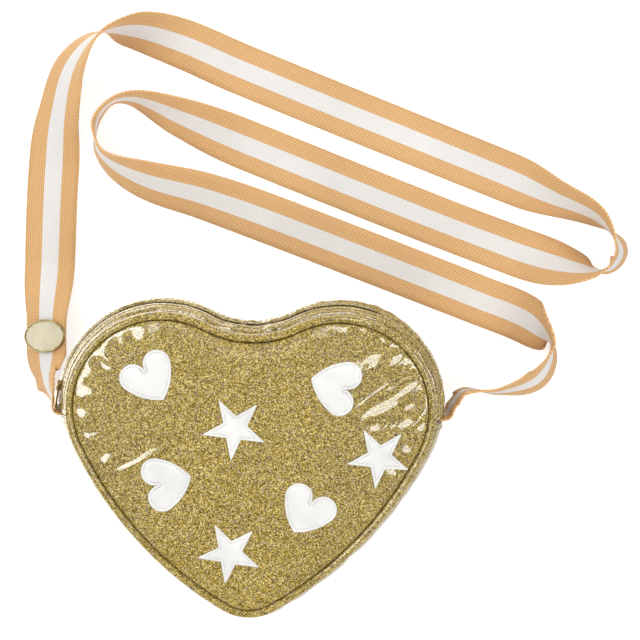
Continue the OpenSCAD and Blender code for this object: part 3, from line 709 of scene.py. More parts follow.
def weave_group():
    """Webbing and cloth: rows of short floats at a place in metres, each row shifted by half a float."""
    name = "Weave"
    if name in bpy.data.node_groups:
        return bpy.data.node_groups[name]
    t = Tree(name, "ShaderNodeTree")
    place = t.takes("Place", "Vector")
    across = t.takes("Pitch across", "Float", 0.0006)
    along = t.takes("Pitch along", "Float", 0.0013)
    shift = t.takes("Row shift", "Float", 0.5)
    parts = t.add("ShaderNodeSeparateXYZ", place)
    column = t.add("ShaderNodeMath", parts.outputs[1], across, operation="DIVIDE")
    row = t.add("ShaderNodeMath", column.outputs[0], operation="FLOOR")
    stagger = t.add("ShaderNodeMath", row.outputs[0], shift, operation="MULTIPLY")
    run = t.add("ShaderNodeMath", parts.outputs[0], along, operation="DIVIDE")
    moved = t.add("ShaderNodeMath", run.outputs[0], stagger.outputs[0], operation="ADD")
    waves_out = []
    for source in (column.outputs[0], moved.outputs[0]):
        part = t.add("ShaderNodeMath", source, operation="FRACT")
        turn = t.add("ShaderNodeMath", part.outputs[0], math.pi, operation="MULTIPLY")
        hump = t.add("ShaderNodeMath", turn.outputs[0], operation="SINE")
        waves_out.append(t.add("ShaderNodeMath", hump.outputs[0], 0.6, operation="POWER").outputs[0])
    height = t.add("ShaderNodeMath", waves_out[0], waves_out[1], operation="MULTIPLY")
    fuzz = t.add("ShaderNodeTexNoise", {"Vector": place, "Scale": 2600.0, "Detail": 2.0})
    spread = t.add("ShaderNodeMapRange", {"Value": fuzz.outputs[0], "To Min": 0.86, "To Max": 1.12})
    # Painted shade: the tone is darker where the floats dip between each other, and the fuzz varies it at
    # random
    shade = t.add("ShaderNodeMapRange", {"Value": height.outputs[0], "To Min": 0.52, "To Max": 1.08})
    tone = t.add("ShaderNodeMath", shade.outputs[0], spread.outputs[0], operation="MULTIPLY")
    t.gives("Height", "Float", height.outputs[0])
    t.gives("Tone", "Float", tone.outputs[0])
    return t.tree


def handling_group():
    """Soft uneven patches of gloss and tone, as handling leaves on a surface."""
    name = "Handling"
    if name in bpy.data.node_groups:
        return bpy.data.node_groups[name]
    t = Tree(name, "ShaderNodeTree")
    size = t.takes("Patch size", "Float", 0.02)
    low = t.takes("Roughness low", "Float", 0.3)
    high = t.takes("Roughness high", "Float", 0.5)
    place = object_place(t)
    scale = t.add("ShaderNodeMath", 1.0, size, operation="DIVIDE")
    broad = t.add("ShaderNodeTexNoise", {"Vector": place, "Scale": scale.outputs[0], "Detail": 3.0})
    rough = t.add("ShaderNodeMapRange", {"Value": broad.outputs[0], "From Min": 0.3, "From Max": 0.7,
                                         "To Min": low, "To Max": high})
    tone = t.add("ShaderNodeMapRange", {"Value": broad.outputs[0], "From Min": 0.3, "From Max": 0.7,
                                        "To Min": 0.94, "To Max": 1.05})
    t.gives("Roughness", "Float", rough.outputs[0])
    t.gives("Tone", "Float", tone.outputs[0])
    return t.tree


def tinted(colour):
    return (*colour, 1.0)


class Finish:
    """A material with one Principled shader, whose colour nodes are added by name."""

    def __init__(self, name, **plain):
        self.material = bpy.data.materials.new(name)
        self.material.use_nodes = True
        self.tree = self.material.node_tree
        self.shader = self.tree.nodes["Principled BSDF"]
        for key, value in plain.items():
            self.shader.inputs[key.replace("_", " ")].default_value = value

    def add(self, kind, *values, **settings):
        return add_node(self.tree, kind, *values, **settings)

    def group(self, tree, **values):
        node = self.tree.nodes.new("ShaderNodeGroup")
        node.node_tree = tree
        for key, value in values.items():
            socket = node.inputs[key.replace("_", " ")]
            if isinstance(value, bpy.types.NodeSocket):
                self.tree.links.new(value, socket)
            else:
                socket.default_value = value
        return node

    def feed(self, socket, source):
        self.tree.links.new(source, self.shader.inputs[socket])

    def handled(self, colour, patch_size, low, high):
        """Feeds the colour and a roughness between two values, both uneven as handling leaves them."""
        use = self.group(handling_group(), Patch_size=patch_size, Roughness_low=low, Roughness_high=high)
        self.feed("Base Color", self.tone(colour, use.outputs["Tone"]))
        self.feed("Roughness", use.outputs["Roughness"])

    def bump(self, height, strength, distance):
        node = self.add("ShaderNodeBump", {"Strength": strength, "Distance": distance, "Height": height})
        self.feed("Normal", node.outputs[0])

    def tone(self, colour, factor):
        """The colour made lighter and darker by a factor."""
        grey = self.add("ShaderNodeCombineColor", factor, factor, factor)
        mix = self.add("ShaderNodeMix", {"Factor": 1.0}, data_type="RGBA", blend_type="MULTIPLY")
        if isinstance(colour, bpy.types.NodeSocket):
            self.tree.links.new(colour, mix.inputs[6])
        else:
            mix.inputs[6].default_value = colour
        self.tree.links.new(grey.outputs[0], mix.inputs[7])
        return mix.outputs[2]


def once(maker):
    """Makes a material the first time it is asked for, and gives the same one afterwards."""
    name = maker.__name__ + "_finish"

    def ask():
        return bpy.data.materials.get(name) or maker(name)
    return ask


@once
def glitter_vinyl(name):
    return glitter(name, *BODY_GLITTER)


@once
def piping_vinyl(name):
    return glitter(name, *PIPING_GLITTER)


@once
def badge_glitter(name):
    return glitter(name, *BADGE_GLITTER)


def glitter(name, flake, tilt, gloss):
    c = bpy.context.scene.bag_finish
    f = Finish(name, Specular_IOR_Level=0.25, Coat_Roughness=gloss, Coat_IOR=1.6)
    flakes = f.group(grain_group(), Flake_size=flake, Tilt=tilt, Gold=tinted(c.gold), Pale=tinted(c.pale),
                     Grey=tinted(c.grey), Olive=tinted(c.olive))
    f.handled(flakes.outputs["Color"], 0.03, 0.5, 0.6)
    f.feed("Normal", flakes.outputs["Normal"])
    place = f.add("ShaderNodeSeparateXYZ", object_place(f))
    shifted = f.add("ShaderNodeMath", place.outputs[0], COAT_SHIFT, operation="ADD")
    away = f.add("ShaderNodeMath", shifted.outputs[0], operation="ABSOLUTE")
    front = f.add("ShaderNodeMapRange", {"Value": away.outputs[0], "From Min": COAT_WEAK_TO,
                                         "From Max": COAT_FULL_FROM, "To Min": COAT_LEAST, "To Max": 1.0})
    below = f.add("ShaderNodeMapRange", {"Value": place.outputs[2], "From Min": COAT_SIDES_TO,
                                         "From Max": COAT_FRONT_FROM, "To Min": 1.0, "To Max": 0.0})
    film = f.add("ShaderNodeMath", front.outputs[0], below.outputs[0], operation="MAXIMUM")
    f.feed("Coat Weight", film.outputs[0])
    return f.material


@once
def patch_vinyl(name):
    c = bpy.context.scene.bag_finish
    f = Finish(name, Coat_Weight=0.7, Coat_Roughness=0.1)
    pores = f.add("ShaderNodeTexVoronoi", {"Vector": object_place(f), "Scale": 1500.0})
    f.handled(tinted(c.white), 0.012, 0.32, 0.42)
    f.bump(pores.outputs[0], 0.06, 0.0001)
    return f.material


@once
def patch_thread(name):
    c = bpy.context.scene.bag_finish
    return thread(name, tuple(0.86 * v for v in c.white))


@once
def gold_thread(name):
    c = bpy.context.scene.bag_finish
    return thread(name, tuple(1.15 * v for v in c.gold))


def thread(name, colour):
    """Twisted sewing thread: fine slanting ridges."""
    f = Finish(name, Roughness=0.55, Sheen_Weight=0.3)
    place = object_place(f)
    twist = f.add("ShaderNodeTexWave", {"Vector": place, "Scale": 900.0, "Distortion": 1.5},
                  bands_direction="DIAGONAL")
    # Painted shade: the thread is darker in the grooves of its twist
    shade = f.add("ShaderNodeMapRange", {"Value": twist.outputs["Fac"], "To Min": 0.78, "To Max": 1.05})
    f.feed("Base Color", f.tone(tinted(colour), shade.outputs[0]))
    f.bump(twist.outputs["Fac"], 0.4, 0.00005)
    return f.material


@once
def webbing(name):
    """Tan webbing with a middle stripe, woven in short floats. The UV map gives metres along and across."""
    s = bpy.context.scene
    c = s.bag_finish
    f = Finish(name, Roughness=0.72, Sheen_Weight=0.15, Sheen_Roughness=0.45, Specular_IOR_Level=0.3)
    place = f.add("ShaderNodeUVMap", uv_map="Surface").outputs[0]
    weave = f.group(weave_group(), Place=place, Pitch_across=0.0009, Pitch_along=0.0016)
    parts = f.add("ShaderNodeSeparateXYZ", place)
    across = f.add("ShaderNodeMath", parts.outputs[1], operation="ABSOLUTE")
    edge = s.bag_webbing.stripe / 2
    stripe = f.add("ShaderNodeMapRange", {"Value": across.outputs[0], "From Min": edge - 0.0001,
                                          "From Max": edge + 0.0001, "To Min": 1.0, "To Max": 0.0})
    # Both colours take the weave's tone, which holds painted shade between the floats; the stripe's is
    # softened
    softened = f.add("ShaderNodeMapRange", {"Value": weave.outputs["Tone"], "From Min": 0.5, "From Max": 1.1,
                                            "To Min": 0.86, "To Max": 1.04})
    tan = f.tone(tinted(c.tan), weave.outputs["Tone"])
    pale = f.tone(tinted(c.stripe), softened.outputs[0])
    both = f.add("ShaderNodeMix", {"Factor": stripe.outputs[0]}, data_type="RGBA")
    f.tree.links.new(tan, both.inputs[6])
    f.tree.links.new(pale, both.inputs[7])
    f.handled(both.outputs[2], 0.05, 0.66, 0.8)
    f.bump(weave.outputs["Height"], 0.55, 0.0002)
    return f.material


def cloth(name, colour, pitch, sheen):
    """Plain woven cloth on a piece with no UV map, by its place in the object."""
    f = Finish(name, Roughness=0.8, Sheen_Weight=sheen, Sheen_Roughness=0.5)
    place = object_place(f)
    turned = f.add("ShaderNodeMapping", {"Vector": place, "Rotation": (0.3, 0.2, 0.0)})
    weave = f.group(weave_group(), Place=turned.outputs[0], Pitch_across=pitch, Pitch_along=pitch)
    # The cloth's colour takes the weave's tone, with its painted shade between the floats
    f.handled(f.tone(tinted(colour), weave.outputs["Tone"]), 0.04, 0.74, 0.86)
    f.bump(weave.outputs["Height"], 0.4, 0.00012)
    return f.material


@once
def lining_cloth(name):
    return cloth(name, bpy.context.scene.bag_finish.lining, 0.0005, 0.2)


@once
def zip_tape(name):
    return cloth(name, bpy.context.scene.bag_finish.zip, 0.0006, 0.1)


@once
def foam_sheet(name):
    """Foam with fine open cells."""
    f = Finish(name, Roughness=0.9)
    place = object_place(f)
    cells = f.add("ShaderNodeTexVoronoi", {"Vector": place, "Scale": 1600.0})
    # Painted shade: the foam is darker in the hollows of its cells
    shade = f.add("ShaderNodeMapRange", {"Value": cells.outputs[0], "To Min": 0.75, "To Max": 1.05})
    use = f.group(handling_group(), Patch_size=0.03, Roughness_low=0.84, Roughness_high=0.95)
    f.feed("Base Color", f.tone(tinted(bpy.context.scene.bag_finish.foam), shade.outputs[0]))
    f.feed("Roughness", use.outputs["Roughness"])
    f.bump(cells.outputs[0], 0.6, 0.0002)
    return f.material


@once
def filler_vinyl(name):
    """Soft extruded cord inside the piping."""
    f = Finish(name)
    f.handled(tinted(bpy.context.scene.bag_finish.filler), 0.01, 0.45, 0.6)
    return f.material


@once
def coil_nylon(name):
    f = Finish(name, Coat_Weight=0.2, Coat_Roughness=0.3)
    f.handled(tinted(bpy.context.scene.bag_finish.zip), 0.006, 0.35, 0.5)
    return f.material


@once
def antique_metal(name):
    """Aged brass, darker in patches and with fine scratches."""
    f = Finish(name, Metallic=1.0)
    place = object_place(f)
    use = f.group(handling_group(), Patch_size=0.003, Roughness_low=0.24, Roughness_high=0.42)
    stretched = f.add("ShaderNodeMapping", {"Vector": place, "Scale": (1.0, 9.0, 9.0),
                                            "Rotation": (0.0, 0.2, 1.3)})
    lines = f.add("ShaderNodeTexNoise", {"Vector": stretched.outputs[0], "Scale": 900.0, "Detail": 3.0})
    # Fine scratches: the bump gives their relief, and the tone follows the same lines, darker where they are
    # low, as painted shade
    shade = f.add("ShaderNodeMapRange", {"Value": lines.outputs[0], "From Min": 0.3, "From Max": 0.7,
                                         "To Min": 0.8, "To Max": 1.1})
    toned = f.tone(tinted(bpy.context.scene.bag_finish.metal), use.outputs["Tone"])
    f.feed("Base Color", f.tone(toned, shade.outputs[0]))
    f.feed("Roughness", use.outputs["Roughness"])
    f.bump(lines.outputs[0], 0.12, 0.00004)
    return f.material


@once
def badge_enamel(name):
    """Satin cream face, slightly mottled."""
    f = Finish(name, Coat_Weight=0.4, Coat_Roughness=0.15)
    place = object_place(f)
    specks = f.add("ShaderNodeTexNoise", {"Vector": place, "Scale": 1400.0, "Detail": 2.0})
    f.handled(tinted(bpy.context.scene.bag_finish.badge), 0.005, 0.3, 0.4)
    f.bump(specks.outputs[0], 0.08, 0.00006)
    return f.material


@once
def floor_paper(name):
    """White paper with the object's shadow. It glows for the camera, and for mirrors at its upper left."""
    material = bpy.data.materials.new(name)
    material.use_nodes = True
    tree = material.node_tree
    shader = tree.nodes["Principled BSDF"]
    shader.inputs["Base Color"].default_value = (0.80, 0.80, 0.80, 1)
    shader.inputs["Roughness"].default_value = 0.9
    place = add_node(tree, "ShaderNodeTexCoord").outputs["Object"]
    uphill = add_node(tree, "ShaderNodeVectorMath", {0: place, 1: (-0.7, 0.7, 0.0)}, operation="DOT_PRODUCT")
    mirrored = add_node(tree, "ShaderNodeMapRange", {"Value": uphill.outputs["Value"],
                                                     "From Min": MIRROR_FROM, "From Max": MIRROR_TO,
                                                     "To Min": MIRROR_LOW, "To Max": MIRROR_HIGH})
    path = add_node(tree, "ShaderNodeLightPath")
    strength = add_node(tree, "ShaderNodeMix", {0: path.outputs["Is Glossy Ray"], 2: FLOOR_GLOW,
                                                    3: mirrored.outputs[0]})
    glow = add_node(tree, "ShaderNodeEmission", (1, 1, 1, 1), strength.outputs[0])
    both = add_node(tree, "ShaderNodeAddShader", glow.outputs[0], shader.outputs[0])
    seen = add_node(tree, "ShaderNodeMath", path.outputs["Is Camera Ray"], path.outputs["Is Glossy Ray"],
                    operation="MAXIMUM")
    mixed = add_node(tree, "ShaderNodeMixShader", {0: seen.outputs[0], 1: shader.outputs[0],
                                                   2: both.outputs[0]})
    tree.links.new(mixed.outputs[0], tree.nodes["Material Output"].inputs[0])
    return material


def dress(node, material):
    """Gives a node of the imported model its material."""
    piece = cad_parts[node]
    piece.data.materials.clear()
    piece.data.materials.append(material)


def belong(piece, slot, *nodes, body="bag"):
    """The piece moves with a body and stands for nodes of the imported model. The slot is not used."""
    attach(piece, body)
    if nodes:
        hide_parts(*nodes)


# Strap

def stretch_length(i):
    return math.hypot(*(ROUTE[i + 1, :2] - ROUTE[i, :2]))


def route_slope(i):
    if i == 0:
        return (ROUTE[1] - ROUTE[0]) / stretch_length(0)
    if i == len(ROUTE) - 1:
        return (ROUTE[i] - ROUTE[i - 1]) / stretch_length(i - 1)
    return (ROUTE[i + 1] - ROUTE[i - 1]) / (stretch_length(i - 1) + stretch_length(i))


def on_route(i, t):
    """Place and roll at a share of one stretch of the route."""
    h = stretch_length(i)
    return ((2 * t ** 3 - 3 * t ** 2 + 1) * ROUTE[i] + (t ** 3 - 2 * t ** 2 + t) * h * route_slope(i)
            + (3 * t ** 2 - 2 * t ** 3) * ROUTE[i + 1] + (t ** 3 - t ** 2) * h * route_slope(i + 1))


def strap_middle(i, t):
    """Middle of the webbing, raised where its lower edge would pass the ground."""
    p = on_route(i, t)
    roll = math.radians(ROUTE[i, 3] if i == BADGE_STRETCH else p[3])
    low = STRAP_LIFT + STRAP_W / 2 * abs(math.sin(roll)) + STRAP_T / 2 * abs(math.cos(roll))
    return np.array([p[0], p[1], max(p[2], low)]), roll


def strap_line(step):
    """Middles and rolls of the webbing an even distance apart, and the distance of each along it."""
    middles, rolls = [], []
    for i in range(len(ROUTE) - 1):
        for t in np.linspace(0, 1, 60, endpoint=i == len(ROUTE) - 2):
            middle, roll = strap_middle(i, t)
            middles.append(middle)
            rolls.append(roll)
    middles, rolls = np.array(middles), np.array(rolls)
    for _ in range(6):
        middles[1:-1] = (middles[:-2] + 2 * middles[1:-1] + middles[2:]) / 4
    run = np.concatenate([[0], np.cumsum(np.linalg.norm(np.diff(middles, axis=0), axis=1))])
    at = np.linspace(0, run[-1], round(run[-1] / step) + 1)
    line = np.stack([np.interp(at, run, middles[:, k]) for k in range(3)], axis=1)
    return line, np.interp(at, run, rolls), at


def strap_frames(line, rolls):
    """At each place on the webbing: along it, across it towards one edge, and out of its face."""
    along = np.gradient(line, axis=0)
    along /= np.linalg.norm(along, axis=1)[:, None]
    flat = np.stack([-along[:, 1], along[:, 0], np.zeros(len(line))], axis=1)
    flat /= np.linalg.norm(flat, axis=1)[:, None]
    up = np.cross(along, flat)
    across = np.cos(rolls)[:, None] * flat + np.sin(rolls)[:, None] * up
    return along, across, np.cross(along, across)


def badge_axes():
    """Middle of the webbing at the badge, and its axes there: along, across and out of the face."""
    before, _ = strap_middle(BADGE_STRETCH, 0.48)
    after, _ = strap_middle(BADGE_STRETCH, 0.52)
    middle, roll = strap_middle(BADGE_STRETCH, 0.5)
    along = (after - before) / np.linalg.norm(after - before)
    flat = np.array([-along[1], along[0], 0]) / math.hypot(along[0], along[1])
    across = math.cos(roll) * flat + math.sin(roll) * np.cross(along, flat)
    return middle, along, across, np.cross(along, across)


# Operators

class BAG_OT_stage(Operator):
    """Sets up the floor, the lights and the camera"""
    bl_idname = "bag.stage"
    bl_label = "Stage"

    def execute(self, context):
        stage = context.scene.bag_stage
        corners = [(x * FLOOR_HALF, y * FLOOR_HALF, FLOOR_Z) for x, y in ((-1, -1), (1, -1), (1, 1), (-1, 1))]
        floor = make_mesh("floor", corners, [(0, 1, 2, 3)], floor_paper())
        tilt, roll = math.radians(stage.tilt), math.radians(stage.roll)
        back = Vector((0, math.sin(tilt), math.cos(tilt)))
        up = Vector((0, math.cos(tilt), -math.sin(tilt)))
        right = up.cross(back)
        data = bpy.data.cameras.new("camera")
        data.lens = stage.lens
        data.clip_start = 0.05
        camera = bpy.data.objects.new("camera", data)
        turned_right = math.cos(roll) * right + math.sin(roll) * up
        turned_up = -math.sin(roll) * right + math.cos(roll) * up
        place = Vector(stage.target) + stage.distance * back
        camera.matrix_world = Matrix((
            (turned_right.x, turned_up.x, back.x, place.x),
            (turned_right.y, turned_up.y, back.y, place.y),
            (turned_right.z, turned_up.z, back.z, place.z),
            (0, 0, 0, 1)))
        context.scene.collection.objects.link(camera)
        context.scene.camera = camera
        for name, (where, side, share) in SOFTBOXES.items():
            lamp = self.lamp(context, name, where, (side, side), share * stage.softbox, (0, 1, 0))
            lamp.visible_glossy = False
        for name, (where, sides, share, along) in STRIPS.items():
            power = share * stage.glint * sides[0] * sides[1] * math.pi
            self.lamp(context, name, where, sides, power, along).visible_diffuse = False
        world = bpy.data.worlds.new("even_light")
        world.use_nodes = True
        tree = world.node_tree
        path = add_node(tree, "ShaderNodeLightPath")
        mirrored_sky = MIRRORED_SKY * stage.sky
        matte = add_node(tree, "ShaderNodeMapRange", {"Value": path.outputs["Is Glossy Ray"],
                                                      "To Min": stage.sky, "To Max": mirrored_sky})
        seen = add_node(tree, "ShaderNodeMix", {0: path.outputs["Is Camera Ray"], 2: matte.outputs[0],
                                                3: 1.0})
        background = tree.nodes["Background"]
        background.inputs[0].default_value = (1, 1, 1, 1)
        tree.links.new(seen.outputs[0], background.inputs[1])
        context.scene.world = world
        context.scene.view_settings.view_transform = "Standard"
        return {"FINISHED"}

    def lamp(self, context, name, where, size, power, along):
        """A rectangular lamp that faces the bag, with its long side along a direction."""
        lamp = bpy.data.lights.new(name, "AREA")
        lamp.shape = "RECTANGLE"
        lamp.size, lamp.size_y = size
        lamp.energy = power
        holder = bpy.data.objects.new(name, lamp)
        back = (Vector(where) - Vector(LAMPS_FACE)).normalized()
        side = Vector(along)
        side = (side - side.dot(back) * back).normalized()
        up = back.cross(side)
        holder.matrix_world = Matrix(((side.x, up.x, back.x, where[0]), (side.y, up.y, back.y, where[1]),
                                      (side.z, up.z, back.z, where[2]), (0, 0, 0, 1)))
        context.scene.collection.objects.link(holder)
        return holder


class BAG_OT_webbing(Operator):
    """Makes the shoulder strap and the badge on it"""
    bl_idname = "bag.webbing"
    bl_label = "Strap and badge"

    def execute(self, context):
        web = context.scene.bag_webbing
        line, rolls, run = strap_line(web.step)
        along, across, face = strap_frames(line, rolls)
        half_w, half_t = STRAP_W / 2, STRAP_T / 2
        flat = np.linspace(-1, 1, 11)[1:-1]
        edge = [(1 - 0.3 * (1 - math.cos(a)) * half_t / half_w * 2, math.sin(a))
                for a in (-1.0, -0.35, 0.35, 1.0)]
        section = [(v, 1.0) for v in flat[::-1] * 0.93] + [(-a, b) for a, b in edge[::-1]]
        section += [(v, -1.0) for v in flat * 0.93] + [(a, b) for a, b in edge]
        section = np.array(section) * [half_w - web.serration, half_t]
        teeth = web.serration * np.where(np.arange(len(line)) % 2 == 0, 1.0, -1.0)
        grow_out = np.where(np.abs(section[:, 0]) > 0.97 * half_w - web.serration, np.sign(section[:, 0]), 0)
        sway = section[None, :, 0] + grow_out[None] * teeth[:, None]
        points = (line[:, None] + across[:, None] * sway[:, :, None]
                  + face[:, None] * section[None, :, 1, None])
        strap = make_mesh("strap_webbing", points.reshape(-1, 3), tube_faces(len(line), len(section), False),
                          webbing())
        outward(strap)
        uv = np.stack([np.repeat(run, len(section)), np.tile(section[:, 0], len(line))], axis=1)
        set_uv(strap, uv)
        face_piece, rim = self.badge()
        belong(strap, "webbing", "shoulder_strap")
        belong(face_piece, "badge_face", "strap_badge")
        belong(rim, "badge_rim", "strap_badge_rim")
        return {"FINISHED"}

    def badge(self):
        middle, along, across, face = badge_axes()
        seat = middle + face * (STRAP_T / 2 + 0.0002)
        angle = np.linspace(0, 2 * math.pi, BADGE_SIDES, endpoint=False)
        ring = np.stack([np.cos(angle), np.sin(angle)], axis=1)
        wide = math.cos(BADGE_LEAN) * across + math.sin(BADGE_LEAN) * along
        tall_way = math.cos(BADGE_LEAN) * along - math.sin(BADGE_LEAN) * across

        def placed(local):
            return seat + local[:, :1] * wide + local[:, 1:2] * tall_way + local[:, 2:] * face

        inner = ring * (BADGE_HALF - BADGE_INSET)
        flat = np.concatenate([disc_points(inner, np.zeros(2), BADGE_RINGS, 1.4), np.zeros((1, 2))])
        reach = np.linalg.norm(flat / (BADGE_HALF - BADGE_INSET), axis=1)
        height = 0.0007 + 0.00045 * (1 - reach ** 2)
        top = placed(np.column_stack([flat, height]))
        low = placed(np.column_stack([flat, np.zeros(len(flat))]))
        faces = sheet_faces(BADGE_SIDES, BADGE_RINGS, len(flat))
        face_piece = outward(make_mesh("badge_face", np.concatenate([top, low]), faces, badge_enamel()))
        sections = []
        for a, direction in zip(angle, ring):
            bead = 1 + 0.06 * math.sin(46 * a)
            width, tall = BADGE_RIM * bead, BADGE_RIM_TALL * bead
            centre = direction * (BADGE_HALF - BADGE_RIM)
            normal = direction / BADGE_HALF
            normal /= np.linalg.norm(normal)
            for k in range(RIM_SIDES):
                turn = 2 * math.pi * k / RIM_SIDES
                up = max(math.sin(turn), -0.35) * tall
                spot = centre + normal * width * math.cos(turn)
                sections.append((spot[0], spot[1], up + 0.35 * tall))
        rim = make_mesh("badge_rim", placed(np.array(sections)), tube_faces(BADGE_SIDES, RIM_SIDES, True),
                        badge_glitter())
        return face_piece, outward(rim)


class BAG_OT_panels(Operator):
    """Makes the puffed front and the flatter back"""
    bl_idname = "bag.panels"
    bl_label = "Front and back"

    def execute(self, context):
        s = np.linspace(0, SEAM_LENGTH, 620, endpoint=False)
        points, out = seam_at(s)
        outline = points - 0.0003 * out
        centre = np.array([0.0, 0.004])

        def inside(xy):
            depth, _ = seam_distance(xy)
            return front_height(xy) - 0.0004 - 0.0008 * (1 - np.exp(-depth / 0.002))

        front = pillow("front_skin", outline, centre, 58, 1.35, front_height, inside, glitter_vinyl())
        belong(front, "glitter_vinyl", "front_panel")

        def rest_height(xy):
            depth, along = seam_distance(xy)
            lift = 0.0021 * np.exp(-depth / 0.0035)
            fold = (seam_waves(along, 0.012, 12) * np.exp(-depth / FOLD_REACH)
                    * (1 - np.exp(-depth / EDGE_CALM)))
            return np.maximum(lift + 0.0004 * fold, 0.00001)

        def back_inside(xy):
            depth, _ = seam_distance(xy)
            return rest_height(xy) + 0.0004 + 0.0008 * (1 - np.exp(-depth / 0.002))

        back = pillow("back_skin", outline[::2], centre, 34, 1.5, back_inside, rest_height, glitter_vinyl())
        belong(back, "glitter_vinyl", "back_panel")
        return {"FINISHED"}


class BAG_OT_piping(Operator):
    """Makes the covered piping round the front and the back"""
    bl_idname = "bag.piping"
    bl_label = "Piping"

    def execute(self, context):
        s = np.linspace(0, SEAM_LENGTH, 900, endpoint=False)
        points, out = seam_at(s)
        for name, z, way in (("front_piping", FRONT_PIPE_Z, 1), ("back_piping", BACK_PIPE_Z, -1)):
            line = np.column_stack([points + out * PIPE_R, np.full(len(s), z)])
            tube = grow(name + "_tube", line, piping_tree,
                        {"Radius": PIPE_R, "Unevenness": 0.00016, "Material": piping_vinyl()}, closed=True)
            low, high = sorted((z - way * PIPE_R, z - way * (PIPE_R - FLANGE_T)))
            section = [(-FLANGE, low), (0.0016, low), (0.0016, high), (-FLANGE, high)]
            flange = swept(name + "_flange", s[::3], section, piping_vinyl(), closed=True)
            whole = joined(name + "_cover", [tube, flange])
            belong(whole, "piping_vinyl", name)
        return {"FINISHED"}


def band_sections(s, first, last, count, relief):
    """Cross sections of a band between two angles for each place s, its outer surface raised by relief."""
    share = np.linspace(0, 1, count)
    angle = first[:, None] + (last - first)[:, None] * share[None]
    height = relief(s[:, None] + 0 * angle, angle, share[None] + 0 * angle)
    outer = np.stack([BAND_MID[0] + (BAND_R + height) * np.cos(angle),
                      BAND_MID[1] + (BAND_R + height) * np.sin(angle)], axis=2)
    pick = np.arange(count - 1, -1, -2)
    inner_angle = angle[:, pick]
    inner_r = BAND_R - SKIN_T + np.minimum(height[:, pick], 0)
    inner = np.stack([BAND_MID[0] + inner_r * np.cos(inner_angle),
                      BAND_MID[1] + inner_r * np.sin(inner_angle)], axis=2)
    return np.concatenate([outer, inner], axis=1)


def pressed_in(angle):
    """Depth by which a band's edges are drawn in beside the piping."""
    from_end = (BAND_END - np.abs(angle)) * BAND_R
    return -PRESS_DEPTH * np.exp(-((from_end - PRESS_AT) / PRESS_WIDTH) ** 2)


class BAG_OT_bands(Operator):
    """Makes the side band: the lower piece and the two strips beside the zip"""
    bl_idname = "bag.bands"
    bl_label = "Side bands"

    def execute(self, context):
        body = context.scene.bag_body
        half_slot = math.atan2(STRAP_T, LOBE_R + 0.0085)
        low_end = lobe_distance(-SEAM_DROP - half_slot)
        s = np.linspace(low_end, SEAM_LENGTH - low_end, 560)

        def low_relief(s, angle, share):
            ends = np.minimum(s - low_end, SEAM_LENGTH - low_end - s)
            tuck = -END_TUCK * np.exp(-ends / END_TUCK_REACH)
            edge = np.sin(math.pi * share)
            return (body.ripple * 0.8 * edge * waves(s, angle * BAND_R, 0.022, 21)
                    + body.pucker * 0.7 * edge ** 0.5 * waves(s, 0.3 * angle * BAND_R, 0.009, 22)
                    + tuck + pressed_in(angle))

        sections = band_sections(s, np.full(len(s), BAND_END), np.full(len(s), -BAND_END), 30, low_relief)
        lower = swept("lower_band", s, sections, glitter_vinyl())
        belong(lower, "glitter_vinyl", "lower_gusset")

        top_end = lobe_distance(-SEAM_DROP + half_slot)
        zip_start, zip_end = lobe_distance(ZIP_START), lobe_distance(ZIP_END)
        s = np.linspace(-top_end, top_end, 640)
        opening = smooth_step((s + zip_start) / 0.0016) * smooth_step((zip_end - s) / 0.003)
        slit = CLOSED_HALF + (SLIT_HALF - CLOSED_HALF) * opening

        def top_relief(way):
            def relief(s, angle, share):
                from_slit = np.abs(angle - ZIP_TILT) * BAND_R
                ends = top_end - np.abs(s)
                free = smooth_step((from_slit - 0.0012) / 0.002)
                notch = np.exp(-(s / NOTCH_REACH) ** 2)
                sewn = -SEWN_DEPTH * np.exp(-((from_slit - SEWN_AT) / SEWN_WIDTH) ** 2)
                lip = -LIP_DROP * np.exp(-(from_slit - SLIT_HALF) / LIP_REACH)
                height = (pressed_in(angle)
                          + body.ripple * 0.7 * free * waves(s, angle * BAND_R, 0.021, 31 + way)
                          + body.pucker * 0.7 * free * waves(s, 0.3 * angle * BAND_R, 0.008, 33 + way)
                          + NOTCH_FOLD * notch * free * waves(s, 0.5 * angle * BAND_R, 0.0075, 35 + way)
                          + sewn + lip - END_TUCK * np.exp(-ends / END_TUCK_REACH))
                # No dip reaches down to the zip's tape
                return np.maximum(height, -TAPE_COVER)
            return relief

        for name, way, seam in (("zip_gusset_front", 1, BAND_END), ("zip_gusset_back", -1, -BAND_END)):
            first = ZIP_TILT + way * slit / BAND_R
            count = 22 if way > 0 else 34
            sections = band_sections(s, np.full(len(s), seam), first, count, top_relief(way))
            band = swept(name.replace("gusset", "band"), s, sections, glitter_vinyl())
            belong(band, "glitter_vinyl", name)
        return {"FINISHED"}


